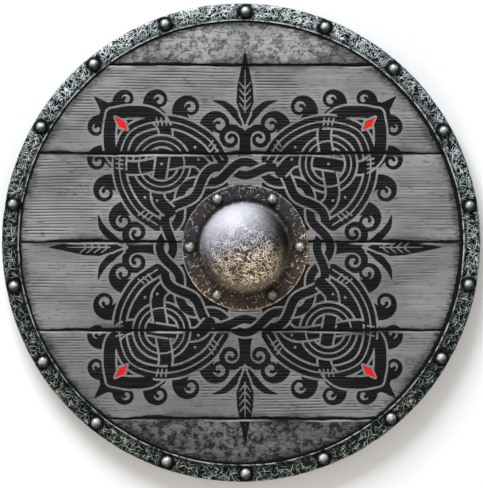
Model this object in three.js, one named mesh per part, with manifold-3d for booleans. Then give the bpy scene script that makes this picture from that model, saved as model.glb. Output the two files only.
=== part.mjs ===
// A round wooden shield, lying on its back with its painted face up.
// Six planks lie edge to edge. A folded steel rim wraps their ends, a domed steel boss covers a hand hole
// at the middle, and three wooden battens cross the planks behind. The middle batten is the hand grip.
// Millimetres. X runs along the planks, Y across them, and Z is up, towards the face.
// The origin is under the middle of the shield, on the surface that the battens lie on.
import * as THREE from "three";
import { mergeVertices } from "three/addons/utils/BufferGeometryUtils.js";
import Module from "manifold-3d";

// The round of planks
const SHIELD_RADIUS = 305;
const BOARD_THICKNESS = 12;
const PLANK_COUNT = 6;
const END_PLANK_WIDTH = 78.4;
const MIDDLE_SEAM_Y = 1;
const PLANK_CHAMFER = 1.2;
const SEAM_GAP = 0.5;

// The steel rim, a strip folded round the planks' ends with one butt joint
const RIM_SHEET = 1.5;
const RIM_WIDTH = 22.2;
const RIM_BEND = 3;
const RIM_JOINT_ANGLE = -86.4;
const RIM_JOINT_GAP = 0.8;

// The rivets that hold the rim. They were set out by eye and drift from an even pitch.
const RIM_RIVET_COUNT = 18;
const RIM_RIVET_START = 90;
const RIM_RIVET_DRIFT = 1.3;
const RIM_RIVET_DRIFT_START = 1.5;
const RIM_RIVET_HEAD_RADIUS = 7.6;
const RIM_RIVET_HEAD_HEIGHT = 6;

// The boss, a flange and a dome in one sheet, set a little off the middle
const BOSS_X = 5;
const BOSS_Y = -6;
const BOSS_SHEET = 1.8;
const DOME_RADIUS = 54;
const DOME_HEIGHT = 52;
const DOME_FILLET = 6;
const BOSS_FLANGE_WIDTH = 20.6;
const BOSS_RIVET_COUNT = 6;
const BOSS_RIVET_HEAD_RADIUS = 6.8;
const BOSS_RIVET_HEAD_HEIGHT = 4.6;

// What the rivets share: a shank through the wood and a button clenched behind
const RIVET_SHANK_RADIUS = 3;
const RIVET_TAIL_RADIUS = 5.5;
const RIVET_TAIL_HEIGHT = 2.5;

// The battens behind the planks
const BATTEN_DEPTH = 16;
const BATTEN_EASING = 3;
const BATTEN_END_CLEARANCE = 11;
const GRIP_WIDTH = 28;
const GRIP_LENGTH = 46;
const GRIP_SHOULDER_LENGTH = 110;
const GRIP_BATTEN_WIDTH = 40;
const GRIP_BATTEN_END_WIDTH = 26;
const SIDE_BATTEN_X = 150;
const SIDE_BATTEN_WIDTH = 30;

// The nails that hold the battens, their heads let in flush
const NAIL_HEAD_RADIUS = 4.5;
const NAIL_HEAD_THICKNESS = 1.6;
const NAIL_SHANK_RADIUS = 1.8;
const NAIL_BITE = 8;
const NAIL_HEAD_INSET = 0.3;
const NAIL_MARGIN = 14;
const GRIP_NAILS_PER_SIDE = 3;
const SIDE_BATTEN_NAILS = 4;

// Fits
const SEAT_GAP = 0.3;
const HOLE_CLEARANCE = 0.4;
const CUT_OVERRUN = 5;
const MERGE_TOLERANCE = 1e-4;

// Heights and radii that follow from the sizes above
const BOARD_BACK = BATTEN_DEPTH + SEAT_GAP;
const BOARD_FRONT = BOARD_BACK + BOARD_THICKNESS;
const RIM_TOP = BOARD_FRONT + SEAT_GAP + RIM_SHEET;
const RIM_BOTTOM = BOARD_BACK - SEAT_GAP - RIM_SHEET;
const RIM_INNER_RADIUS = SHIELD_RADIUS - RIM_WIDTH;
const BOARD_RADIUS = SHIELD_RADIUS - RIM_SHEET - SEAT_GAP;
const PLANK_WIDTH = (BOARD_RADIUS - END_PLANK_WIDTH) / (PLANK_COUNT / 2 - 1);
const HAND_HOLE_RADIUS = DOME_RADIUS - BOSS_SHEET;
const BOSS_RADIUS = DOME_RADIUS + DOME_FILLET + BOSS_FLANGE_WIDTH;
const BOSS_RIVET_CIRCLE = BOSS_RADIUS - BOSS_FLANGE_WIDTH / 2;
const BOSS_BOTTOM = BOARD_FRONT + SEAT_GAP;
const BOSS_TOP = BOSS_BOTTOM + BOSS_SHEET;
const RIVET_HOLE_RADIUS = RIVET_SHANK_RADIUS + HOLE_CLEARANCE;
const NAIL_HOLE_RADIUS = NAIL_SHANK_RADIUS + HOLE_CLEARANCE;

// Facets of the round forms, and steps along their bends
const RIM_FACETS = 60;
const BOSS_FACETS = 36;
const HAND_HOLE_FACETS = 32;
const RIVET_FACETS = 8;
const HOLE_FACETS = 6;
const NAIL_FACETS = 6;
const BEND_STEPS = 2;
const DOME_STEPS = 6;
const RIVET_HEAD_STEPS = 2;
const BATTEN_END_STEPS = 6;
const GRIP_CURVE_STEPS = 14;

const STEEL = new THREE.MeshStandardMaterial({ color: 0x4d524e, roughness: 0.45, metalness: 0.9 });
const BOSS_STEEL = new THREE.MeshStandardMaterial({ color: 0x77716d, roughness: 0.35, metalness: 0.95 });
const RIVET_STEEL = new THREE.MeshStandardMaterial({ color: 0x9aa09d, roughness: 0.3, metalness: 0.95 });
const NAIL_IRON = new THREE.MeshStandardMaterial({ color: 0x3a3836, roughness: 0.6, metalness: 0.85 });
const PLANK_WOOD = new THREE.MeshStandardMaterial({ color: 0x6d6c6b, roughness: 0.75, metalness: 0 });
const BATTEN_WOOD = new THREE.MeshStandardMaterial({ color: 0x5b5048, roughness: 0.75, metalness: 0 });

const wasm = await Module();
wasm.setup();

const radians = THREE.MathUtils.degToRad;

// The solid of a closed geometry, its shared vertices merged.
function solidOf(geometry) {
  const bare = geometry.clone();
  bare.deleteAttribute("normal");
  bare.deleteAttribute("uv");
  const merged = mergeVertices(bare, MERGE_TOLERANCE);
  return new wasm.Manifold(
    new wasm.Mesh({
      numProp: 3,
      vertProperties: merged.attributes.position.array,
      triVerts: new Uint32Array(merged.index.array),
    }),
  );
}

function geometryOf(solid) {
  const mesh = solid.getMesh();
  const geometry = new THREE.BufferGeometry();
  geometry.setAttribute("position", new THREE.BufferAttribute(new Float32Array(mesh.vertProperties), 3));
  geometry.setIndex(new THREE.BufferAttribute(new Uint32Array(mesh.triVerts), 1));
  geometry.computeVertexNormals();
  return geometry;
}

function cutFrom(solid, cutters) {
  return geometryOf(cutters.reduce((left, cutter) => left.subtract(solidOf(cutter)), solid));
}

function namedMesh(name, geometry, material) {
  const mesh = new THREE.Mesh(geometry, material);
  mesh.name = name;
  return mesh;
}

// A profile of [radius, height] pairs turned about Z.
function turned(profile, facets) {
  const points = profile.map(([radius, height]) => new THREE.Vector2(radius, height));
  return new THREE.LatheGeometry(points, facets).rotateX(Math.PI / 2);
}

// Points of an arc from one angle to another, in radians, both ends included.
function arcPoints(centreX, centreY, radiusX, radiusY, from, to, steps) {
  return Array.from({ length: steps + 1 }, (_, i) => {
    const angle = from + ((to - from) * i) / steps;
    return [centreX + radiusX * Math.cos(angle), centreY + radiusY * Math.sin(angle)];
  });
}

// A cutter for a round hole between two heights. Its facets stay outside the stated radius.
function holeCutter(x, y, radius, low, high, facets = HOLE_FACETS) {
  const corner = radius / Math.cos(Math.PI / facets);
  return new THREE.CylinderGeometry(corner, corner, high - low, facets)
    .rotateX(Math.PI / 2)
    .translate(x, y, (low + high) / 2);
}

// A flat outline given a thickness, with every edge eased by the same amount.
function easedSlab(outline, low, thickness, easing) {
  const shape = new THREE.Shape(outline.map(([x, y]) => new THREE.Vector2(x, y)));
  const settings = {
    depth: thickness - 2 * easing,
    bevelThickness: easing,
    bevelSize: easing,
    bevelOffset: -easing,
    bevelSegments: 1,
  };
  return new THREE.ExtrudeGeometry(shape, settings).translate(0, 0, low + easing);
}

// Centres of the rim's rivets
function rimRivetPlaces() {
  const circle = SHIELD_RADIUS - RIM_WIDTH / 2;
  const pitch = 360 / RIM_RIVET_COUNT;
  return Array.from({ length: RIM_RIVET_COUNT }, (_, i) => {
    const drift = RIM_RIVET_DRIFT * Math.cos(radians(pitch * (i - RIM_RIVET_DRIFT_START)));
    const angle = radians(RIM_RIVET_START - pitch * i - drift);
    return [circle * Math.cos(angle), circle * Math.sin(angle)];
  });
}

function bossRivetPlaces() {
  const pitch = (2 * Math.PI) / BOSS_RIVET_COUNT;
  return Array.from({ length: BOSS_RIVET_COUNT }, (_, i) => [
    BOSS_X + BOSS_RIVET_CIRCLE * Math.cos(pitch * i),
    BOSS_Y + BOSS_RIVET_CIRCLE * Math.sin(pitch * i),
  ]);
}

// The low and high Y of each plank, counted from the top. The end planks run out past the round.
function plankSpans() {
  const outside = BOARD_RADIUS + CUT_OVERRUN;
  return Array.from({ length: PLANK_COUNT }, (_, i) => {
    const high = MIDDLE_SEAM_Y + PLANK_WIDTH * (PLANK_COUNT / 2 - i);
    const low = high - PLANK_WIDTH;
    return [
      i === PLANK_COUNT - 1 ? -outside : low + SEAM_GAP / 2,
      i === 0 ? outside : high - SEAM_GAP / 2,
    ];
  });
}

// A plank with eased edges, its ends sawn to the round of the whole board.
function plankSolid(low, high) {
  const reach = BOARD_RADIUS + CUT_OVERRUN;
  const strip = [
    [-reach, low],
    [reach, low],
    [reach, high],
    [-reach, high],
  ];
  const round = [
    [0, BOARD_BACK],
    [BOARD_RADIUS - PLANK_CHAMFER, BOARD_BACK],
    [BOARD_RADIUS, BOARD_BACK + PLANK_CHAMFER],
    [BOARD_RADIUS, BOARD_FRONT - PLANK_CHAMFER],
    [BOARD_RADIUS - PLANK_CHAMFER, BOARD_FRONT],
    [0, BOARD_FRONT],
  ];
  const slab = solidOf(easedSlab(strip, BOARD_BACK, BOARD_THICKNESS, PLANK_CHAMFER));
  return slab.intersect(solidOf(turned(round, RIM_FACETS)));
}

// Evenly spaced values from one to another, both included.
function spread(from, to, count) {
  return Array.from({ length: count }, (_, i) => from + ((to - from) * i) / (count - 1));
}

// Nail places along a batten. Those of the grip batten keep clear of the boss.
function nailHeights(batten) {
  const end = batten.halfLength - NAIL_MARGIN;
  if (!batten.underBoss) return spread(-end, end, SIDE_BATTEN_NAILS);
  const clear = BOSS_RADIUS + NAIL_MARGIN;
  return [
    ...spread(-end, BOSS_Y - clear, GRIP_NAILS_PER_SIDE),
    ...spread(BOSS_Y + clear, end, GRIP_NAILS_PER_SIDE),
  ];
}

// Half the length of a batten whose outer edge stands at x, ending short of the rim.
function battenHalfLength(x) {
  return Math.sqrt((RIM_INNER_RADIUS - BATTEN_END_CLEARANCE) ** 2 - x ** 2);
}

// Battens, each with its place, its half length and its outline
function battens() {
  const gripHalf = battenHalfLength(BOSS_X + GRIP_BATTEN_WIDTH / 2);
  const sideHalf = battenHalfLength(SIDE_BATTEN_X + SIDE_BATTEN_WIDTH / 2);
  const side = (name, x) => ({
    name,
    x,
    halfLength: sideHalf,
    underBoss: false,
    outline: battenOutline(x, sideHalf, SIDE_BATTEN_WIDTH / 2, []),
  });
  return [
    {
      name: "grip_batten",
      x: BOSS_X,
      halfLength: gripHalf,
      underBoss: true,
      outline: battenOutline(BOSS_X, gripHalf, GRIP_BATTEN_END_WIDTH / 2, gripSide(gripHalf)),
    },
    side("left_batten", -SIDE_BATTEN_X),
    side("right_batten", SIDE_BATTEN_X),
  ];
}

// A batten's outline: rounded ends, and between them the given right side, which the left side mirrors.
function battenOutline(x, halfLength, endRadius, side) {
  const endStart = halfLength - endRadius;
  const top = arcPoints(x, endStart, endRadius, endRadius, 0, Math.PI, BATTEN_END_STEPS);
  const bottom = arcPoints(x, -endStart, endRadius, endRadius, Math.PI, 2 * Math.PI, BATTEN_END_STEPS);
  const right = side.map(([reach, y]) => [x + reach, y]);
  const left = side.map(([reach, y]) => [x - reach, y]).reverse();
  return [...right, ...top, ...left, ...bottom];
}

// Half widths of the grip batten up its length: waisted where the hand holds it, slimmer at the ends.
function gripSide(halfLength) {
  const end = GRIP_BATTEN_END_WIDTH / 2;
  const shoulder = GRIP_BATTEN_WIDTH / 2;
  const waist = GRIP_WIDTH / 2;
  const endStart = halfLength - end;
  const taperStart = (endStart + GRIP_SHOULDER_LENGTH) / 2;
  const stations = [
    [end, -endStart],
    [shoulder, -taperStart],
    [shoulder, BOSS_Y - GRIP_SHOULDER_LENGTH / 2 - GRIP_LENGTH / 2],
    [waist, BOSS_Y - GRIP_LENGTH / 2],
    [waist, BOSS_Y + GRIP_LENGTH / 2],
    [shoulder, BOSS_Y + GRIP_SHOULDER_LENGTH / 2 + GRIP_LENGTH / 2],
    [shoulder, taperStart],
    [end, endStart],
  ];
  const curve = new THREE.SplineCurve(stations.map(([x, y]) => new THREE.Vector2(x, y)));
  return curve
    .getPoints(GRIP_CURVE_STEPS)
    .slice(1, -1)
    .map((point) => [point.x, point.y]);
}

function makePlanks() {
  const through = [BOARD_BACK - CUT_OVERRUN, BOARD_FRONT + CUT_OVERRUN];
  const rivetPlaces = [...rimRivetPlaces(), ...bossRivetPlaces()];
  const rivetHoles = rivetPlaces.map(([x, y]) => ({ x, y, radius: RIVET_HOLE_RADIUS }));
  const nailTop = BOARD_BACK + NAIL_BITE + HOLE_CLEARANCE;
  const nailHoles = battens().flatMap((batten) =>
    nailHeights(batten).map((y) => ({ x: batten.x, y, radius: NAIL_HOLE_RADIUS })),
  );
  return plankSpans().map(([low, high], i) => {
    const touches = ({ y, radius }) => y + radius > low && y - radius < high;
    const cutters = [
      ...rivetHoles.filter(touches).map(({ x, y, radius }) => holeCutter(x, y, radius, ...through)),
      ...nailHoles.filter(touches).map(({ x, y, radius }) => holeCutter(x, y, radius, through[0], nailTop)),
    ];
    if (touches({ y: BOSS_Y, radius: HAND_HOLE_RADIUS }))
      cutters.push(holeCutter(BOSS_X, BOSS_Y, HAND_HOLE_RADIUS, ...through, HAND_HOLE_FACETS));
    return namedMesh(`plank_${i + 1}`, cutFrom(plankSolid(low, high), cutters), PLANK_WOOD);
  });
}

// The rim's section: front flange, rounded outer bend, back flange, then back along the inside.
function rimProfile() {
  const bendStart = SHIELD_RADIUS - RIM_BEND;
  const innerBend = RIM_BEND - RIM_SHEET;
  const arc = (low, from, to, radius, steps) => arcPoints(bendStart, low, radius, radius, from, to, steps);
  const lowCentre = RIM_BOTTOM + RIM_BEND;
  const highCentre = RIM_TOP - RIM_BEND;
  const outside = [
    [RIM_INNER_RADIUS, RIM_BOTTOM],
    ...arc(lowCentre, -Math.PI / 2, 0, RIM_BEND, BEND_STEPS),
    ...arc(highCentre, 0, Math.PI / 2, RIM_BEND, BEND_STEPS),
    [RIM_INNER_RADIUS, RIM_TOP],
  ];
  const inside = [
    [RIM_INNER_RADIUS, RIM_TOP - RIM_SHEET],
    ...arc(highCentre, Math.PI / 2, 0, innerBend, 1),
    ...arc(lowCentre, 0, -Math.PI / 2, innerBend, 1),
    [RIM_INNER_RADIUS, RIM_BOTTOM + RIM_SHEET],
  ];
  return [...outside, ...inside, outside[0]];
}

function makeRim() {
  const ring = solidOf(turned(rimProfile(), RIM_FACETS));
  const span = [RIM_BOTTOM - CUT_OVERRUN, RIM_TOP + CUT_OVERRUN];
  const holes = rimRivetPlaces().map(([x, y]) => holeCutter(x, y, RIVET_HOLE_RADIUS, ...span));
  const joint = new THREE.BoxGeometry(RIM_WIDTH + 2 * CUT_OVERRUN, RIM_JOINT_GAP, span[1] - span[0])
    .translate(SHIELD_RADIUS - RIM_WIDTH / 2, 0, (span[0] + span[1]) / 2)
    .rotateZ(radians(RIM_JOINT_ANGLE));
  return namedMesh("rim", cutFrom(ring, [...holes, joint]), STEEL);
}

// The boss's section, up the inside of the dome from its top and back over the outside.
function bossProfile() {
  const filletX = DOME_RADIUS + DOME_FILLET;
  const springing = BOSS_TOP + DOME_FILLET;
  const rise = DOME_HEIGHT - DOME_FILLET;
  const insideRadius = DOME_RADIUS - BOSS_SHEET;
  const insideFillet = DOME_FILLET + BOSS_SHEET;
  const quarter = Math.PI / 2;
  const inside = [
    ...arcPoints(0, springing, insideRadius, rise - BOSS_SHEET, quarter, 0, DOME_STEPS - 1),
    ...arcPoints(filletX, springing, insideFillet, insideFillet, Math.PI, 3 * quarter, BEND_STEPS).slice(1),
    [BOSS_RADIUS, BOSS_BOTTOM],
  ];
  const outside = [
    [BOSS_RADIUS, BOSS_TOP],
    ...arcPoints(filletX, springing, DOME_FILLET, DOME_FILLET, 3 * quarter, Math.PI, BEND_STEPS),
    ...arcPoints(0, springing, DOME_RADIUS, rise, 0, quarter, DOME_STEPS).slice(1),
  ];
  inside[0][0] = 0;
  outside[outside.length - 1][0] = 0;
  return [...inside, ...outside];
}

function makeBoss() {
  const dome = solidOf(turned(bossProfile(), BOSS_FACETS).translate(BOSS_X, BOSS_Y, 0));
  const span = [BOSS_BOTTOM - CUT_OVERRUN, BOSS_TOP + CUT_OVERRUN];
  const holes = bossRivetPlaces().map(([x, y]) => holeCutter(x, y, RIVET_HOLE_RADIUS, ...span));
  return namedMesh("boss", cutFrom(dome, holes), BOSS_STEEL);
}

// A rivet: a clenched button behind, a shank, and a domed head in front.
function rivetGeometry(tailTop, headBottom, headRadius, headHeight) {
  const head = arcPoints(0, headBottom, headRadius, headHeight, 0, Math.PI / 2, RIVET_HEAD_STEPS);
  head[head.length - 1][0] = 0;
  return turned(
    [
      [0, tailTop - RIVET_TAIL_HEIGHT],
      [RIVET_TAIL_RADIUS, tailTop - RIVET_TAIL_HEIGHT],
      [RIVET_TAIL_RADIUS, tailTop],
      [RIVET_SHANK_RADIUS, tailTop],
      [RIVET_SHANK_RADIUS, headBottom],
      ...head,
    ],
    RIVET_FACETS,
  );
}

function makeRivets(prefix, places, geometry) {
  return places.map(([x, y], i) => {
    const mesh = namedMesh(`${prefix}_${String(i + 1).padStart(2, "0")}`, geometry, RIVET_STEEL);
    mesh.position.set(x, y, 0);
    return mesh;
  });
}

function makeRimRivets() {
  const geometry = rivetGeometry(
    RIM_BOTTOM - SEAT_GAP,
    RIM_TOP + SEAT_GAP,
    RIM_RIVET_HEAD_RADIUS,
    RIM_RIVET_HEAD_HEIGHT,
  );
  return makeRivets("rim_rivet", rimRivetPlaces(), geometry);
}

function makeBossRivets() {
  const geometry = rivetGeometry(
    BOARD_BACK - SEAT_GAP,
    BOSS_TOP + SEAT_GAP,
    BOSS_RIVET_HEAD_RADIUS,
    BOSS_RIVET_HEAD_HEIGHT,
  );
  return makeRivets("boss_rivet", bossRivetPlaces(), geometry);
}

function makeBattens() {
  const headTop = NAIL_HEAD_INSET + NAIL_HEAD_THICKNESS + SEAT_GAP;
  return battens().map((batten) => {
    const slab = solidOf(easedSlab(batten.outline, 0, BATTEN_DEPTH, BATTEN_EASING));
    const cutters = nailHeights(batten).flatMap((y) => [
      holeCutter(batten.x, y, NAIL_HEAD_RADIUS + HOLE_CLEARANCE, -CUT_OVERRUN, headTop, NAIL_FACETS),
      holeCutter(batten.x, y, NAIL_HOLE_RADIUS, 0, BATTEN_DEPTH + CUT_OVERRUN, NAIL_FACETS),
    ]);
    return namedMesh(batten.name, cutFrom(slab, cutters), BATTEN_WOOD);
  });
}

function makeNails() {
  const headTop = NAIL_HEAD_INSET + NAIL_HEAD_THICKNESS;
  const profile = [
    [0, NAIL_HEAD_INSET],
    [NAIL_HEAD_RADIUS, NAIL_HEAD_INSET],
    [NAIL_HEAD_RADIUS, headTop],
    [NAIL_SHANK_RADIUS, headTop],
    [NAIL_SHANK_RADIUS, BOARD_BACK + NAIL_BITE],
    [0, BOARD_BACK + NAIL_BITE],
  ];
  const geometry = turned(profile, NAIL_FACETS);
  return battens().flatMap((batten) =>
    nailHeights(batten).map((y, i) => {
      const mesh = namedMesh(`${batten.name}_nail_${i + 1}`, geometry, NAIL_IRON);
      mesh.position.set(batten.x, y, 0);
      return mesh;
    }),
  );
}

const shield = new THREE.Group();
shield.add(...makePlanks());
shield.add(makeRim());
shield.add(...makeRimRivets());
shield.add(makeBoss());
shield.add(...makeBossRivets());
shield.add(...makeBattens());
shield.add(...makeNails());

export default shield;
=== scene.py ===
"""A wooden round shield on a pale floor, seen from straight above.

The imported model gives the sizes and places. Each of its nodes gets a dressed piece of the same form: planks
with combed grain and a painted knotwork ornament, a folded rim, a domed boss, rivets, battens and nails.
Lengths are in metres, and millimetres are written as a number times MM.
"""

import logging
import math
from collections.abc import Callable, Iterable, Iterator, Sequence
from contextlib import contextmanager
from dataclasses import dataclass, field
from enum import Enum

import bmesh
import bpy
import numpy as np
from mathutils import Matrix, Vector


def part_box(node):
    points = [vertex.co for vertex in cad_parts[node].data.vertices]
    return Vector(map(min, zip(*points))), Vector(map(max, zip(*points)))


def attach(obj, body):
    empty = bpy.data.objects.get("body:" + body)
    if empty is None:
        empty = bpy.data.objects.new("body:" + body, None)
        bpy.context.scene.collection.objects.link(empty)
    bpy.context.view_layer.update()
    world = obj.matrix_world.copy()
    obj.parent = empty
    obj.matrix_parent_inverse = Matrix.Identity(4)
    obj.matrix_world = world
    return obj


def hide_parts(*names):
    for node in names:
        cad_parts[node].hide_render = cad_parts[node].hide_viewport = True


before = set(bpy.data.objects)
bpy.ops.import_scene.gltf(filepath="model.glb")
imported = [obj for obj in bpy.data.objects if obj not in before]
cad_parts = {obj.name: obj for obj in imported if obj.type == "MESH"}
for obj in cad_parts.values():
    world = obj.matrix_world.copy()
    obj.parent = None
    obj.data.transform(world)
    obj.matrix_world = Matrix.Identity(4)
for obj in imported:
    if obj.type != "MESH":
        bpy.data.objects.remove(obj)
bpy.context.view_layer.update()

log = logging.getLogger("shield")

MM = 0.001
BODY = "root"
FULL_TURN = 2 * math.pi
FAR_FROM_PAINT = -60.0
PAINT_MARGIN = 8.0
LATTICE = 64
HAIR = 0.01 * MM
CUTTER_MARGIN = 5 * MM
SMOOTH_ANGLE = 40

Field = np.ndarray
Path = np.ndarray
Places = Sequence[tuple[float, float]]
Colour = tuple[float, float, float, float]
Crossing = tuple[tuple[int, float], tuple[int, float]]
Socket = bpy.types.NodeSocket
Value = Socket | float
Tint = Socket | Colour
Material = bpy.types.Material
Piece = bpy.types.Object


def node_names(prefix: str) -> list[str]:
    """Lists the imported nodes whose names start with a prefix, in order.

    Args:
        prefix: The start of the names.

    Returns:
        The sorted names.
    """
    return sorted(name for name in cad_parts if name.startswith(prefix))


def middle_of(node: str) -> Vector:
    """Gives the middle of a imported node's box."""
    low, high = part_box(node)
    return (low + high) / 2


class Side(Enum):
    """Which face of a slab is the finely divided one."""

    FRONT = 1
    BACK = -1


class Grain(Enum):
    """How a plank's face was worked."""

    COMBED = 0.0
    PITTED = 1.0


def lattice_noise(x: Field, y: Field, seed: int) -> Field:
    """Smooth random heights over a plane, from a repeating lattice of seeded values.

    Args:
        x: First coordinates, with one lattice step to a unit.
        y: Second coordinates.
        seed: Chooses the lattice.

    Returns:
        Heights from -1 to 1.
    """
    lattice = np.random.default_rng(seed).uniform(-1, 1, (LATTICE, LATTICE))
    cell_x, cell_y = np.floor(x).astype(int), np.floor(y).astype(int)
    share_x, share_y = x - cell_x, y - cell_y
    share_x = share_x * share_x * (3 - 2 * share_x)
    share_y = share_y * share_y * (3 - 2 * share_y)
    left, right = cell_x % LATTICE, (cell_x + 1) % LATTICE
    low, high = cell_y % LATTICE, (cell_y + 1) % LATTICE
    bottom = lattice[left, low] * (1 - share_x) + lattice[right, low] * share_x
    top = lattice[left, high] * (1 - share_x) + lattice[right, high] * share_x
    return bottom * (1 - share_y) + top * share_y


def ramp(value: Field, start: float, end: float) -> Field:
    """Rises smoothly from 0 at start to 1 at end."""
    share = np.clip((value - start) / (end - start), 0, 1)
    return share * share * (3 - 2 * share)


# Painted ornament


def turned(path: Path, angle: float) -> Path:
    """Turns a path about the origin, by an angle in radians."""
    c, s = math.cos(angle), math.sin(angle)
    return path @ np.array([[c, s], [-s, c]])


def mirrored(path: Path) -> Path:
    """Mirrors a path in its first axis."""
    return path * np.array([1.0, -1.0])


def smooth_path(points: Places, per_span: int = 10) -> Path:
    """Draws a smooth curve through a few points.

    Args:
        points: The points, in order.
        per_span: Steps from one point to the next.

    Returns:
        The curve's points.
    """
    given = np.asarray(points, float)
    padded = np.vstack([2 * given[0] - given[1], given, 2 * given[-1] - given[-2]])
    t = np.linspace(0, 1, per_span, endpoint=False)[:, None]
    spans = []
    for a, b, c, d in zip(padded[:-3], padded[1:-2], padded[2:-1], padded[3:]):
        cubic = 3 * b + c * -3 + d - a
        spans.append((2 * b + (c - a) * t + (2 * a - 5 * b + 4 * c - d) * t**2 + cubic * t**3) / 2)
    return np.vstack([*spans, given[-1:]])


def ring_path(centre: tuple[float, float], radius: float, steps: int = 60) -> Path:
    """Draws a circle as a closed path."""
    angle = np.linspace(0, FULL_TURN, steps)
    return np.stack([np.cos(angle), np.sin(angle)], 1) * radius + centre


def curl_path(start: tuple[float, float], heading: float, rise: float, radius: float, turns: float) -> Path:
    """Draws a path that leaves a point and then winds up ever tighter to the left.

    Args:
        start: Where it starts.
        heading: Its first direction, in degrees.
        rise: How far it runs before it winds up.
        radius: Its first radius there.
        turns: How many turns it winds up by.

    Returns:
        The path's points.
    """
    last_radius, steps = 2.4, 34
    angle = np.linspace(0, FULL_TURN * turns, steps)
    radii = radius + (last_radius - radius) * angle / angle[-1]
    straight = np.full(4, rise / 4)
    hops = np.concatenate([straight, (radii[1:] + radii[:-1]) / 2 * (angle[1] - angle[0])])
    bend = np.concatenate([[-0.3, -0.25, -0.15, -0.05], (angle[1:] + angle[:-1]) / 2]) + math.radians(heading)
    steps_taken = np.stack([np.cos(bend), np.sin(bend)], 1) * hops[:, None]
    return np.vstack([np.zeros((1, 2)), np.cumsum(steps_taken, axis=0)]) + start


def width_along(path: Path, halves: Sequence[float]) -> Field:
    """Spreads a few half widths evenly over a path's points."""
    share = np.linspace(0, 1, len(path))
    return np.interp(share, np.linspace(0, 1, len(halves)), halves)


class Paint:
    """Signed distances to painted shapes, in millimetres and positive inside, at scattered points."""

    def __init__(self, points: Field) -> None:
        """Starts bare.

        Args:
            points: Where the distances are wanted, one row for each point.
        """
        self.points = points
        self.depth = np.full(len(points), FAR_FROM_PAINT)

    def measure(self, path: Path, half: Field) -> tuple[Field, Field, Field]:
        """Measures from the points near a stroke to its edge.

        Args:
            path: The stroke's middle line.
            half: Its half width at each of the line's points.

        Returns:
            The near points' numbers, their distances to the edge, negative inside, and whether each is
            beside the stroke and not past its ends.
        """
        reach = half.max() + PAINT_MARGIN
        low, high = path.min(0) - reach, path.max(0) + reach
        near = np.flatnonzero(np.all((self.points > low) & (self.points < high), axis=1))
        p = self.points[near]
        edge = np.full(len(p), -FAR_FROM_PAINT)
        beside = np.zeros(len(p), bool)
        last = len(path) - 2
        for i in range(last + 1):
            hop = path[i + 1] - path[i]
            share = (p - path[i]) @ hop / max(float(hop @ hop), 1e-9)
            clamped = np.clip(share, 0, 1)
            away = p - path[i] - clamped[:, None] * hop
            gap = np.hypot(away[:, 0], away[:, 1]) - half[i] - (half[i + 1] - half[i]) * clamped
            closer = gap < edge
            past = ((share < 0) & (i == 0)) | ((share > 1) & (i == last))
            edge = np.where(closer, gap, edge)
            beside = np.where(closer, ~past, beside)
        return near, edge, beside

    def stroke(self, path: Path, half: Field) -> None:
        """Paints a stroke."""
        near, edge, _ = self.measure(path, half)
        self.depth[near] = np.maximum(self.depth[near], -edge)

    def cut(self, path: Path, half: Field) -> None:
        """Leaves a stroke bare."""
        near, edge, _ = self.measure(path, half)
        self.depth[near] = np.minimum(self.depth[near], edge)

    def lay(self, path: Places | Path, angle: float, halves: Sequence[float], bare: bool = False) -> None:
        """Paints a stroke at its place, or leaves it bare.

        Args:
            path: The stroke's middle line.
            angle: The turn to its place.
            halves: Its half widths, spread evenly along it.
            bare: Whether it is left bare.
        """
        line = turned(np.asarray(path, float), angle)
        (self.cut if bare else self.stroke)(line, width_along(line, halves))

    def pair(self, path: Places | Path, angle: float, halves: Sequence[float], bare: bool = False) -> None:
        """Lays a stroke and its mirror image, as lay does for one."""
        self.lay(path, angle, halves, bare)
        self.lay(mirrored(np.asarray(path, float)), angle, halves, bare)

    def bridge(self, path: Path, half: Field, halo: float) -> None:
        """Paints a short stroke that passes over what is there, with a bare line along each side.

        Args:
            path: The stroke's middle line.
            half: Its half width at each of the line's points.
            halo: Width of the bare lines.
        """
        near, edge, beside = self.measure(path, half)
        bared = np.minimum(self.depth[near], edge - halo)
        self.depth[near] = np.where(beside, np.maximum(bared, -edge), self.depth[near])


@dataclass
class Strand:
    """One ribbon of the interlace.

    Attributes:
        path: Its middle line.
        half: Its half width.
    """

    path: Path
    half: float

    def piece(self, place: float, reach: float) -> Path:
        """Takes the short stretch of the ribbon around one place.

        Args:
            place: The place, counted in the path's points.
            reach: How far the stretch runs each way.

        Returns:
            The stretch's points.
        """
        hops = np.diff(self.path, axis=0)
        run = np.concatenate([[0], np.cumsum(np.hypot(hops[:, 0], hops[:, 1]))])
        here = np.interp(place, np.arange(len(run)), run)
        marks = np.linspace(max(here - reach, 0), min(here + reach, run[-1]), 9)
        return np.stack([np.interp(marks, run, self.path[:, axis]) for axis in range(2)], 1)


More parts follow.
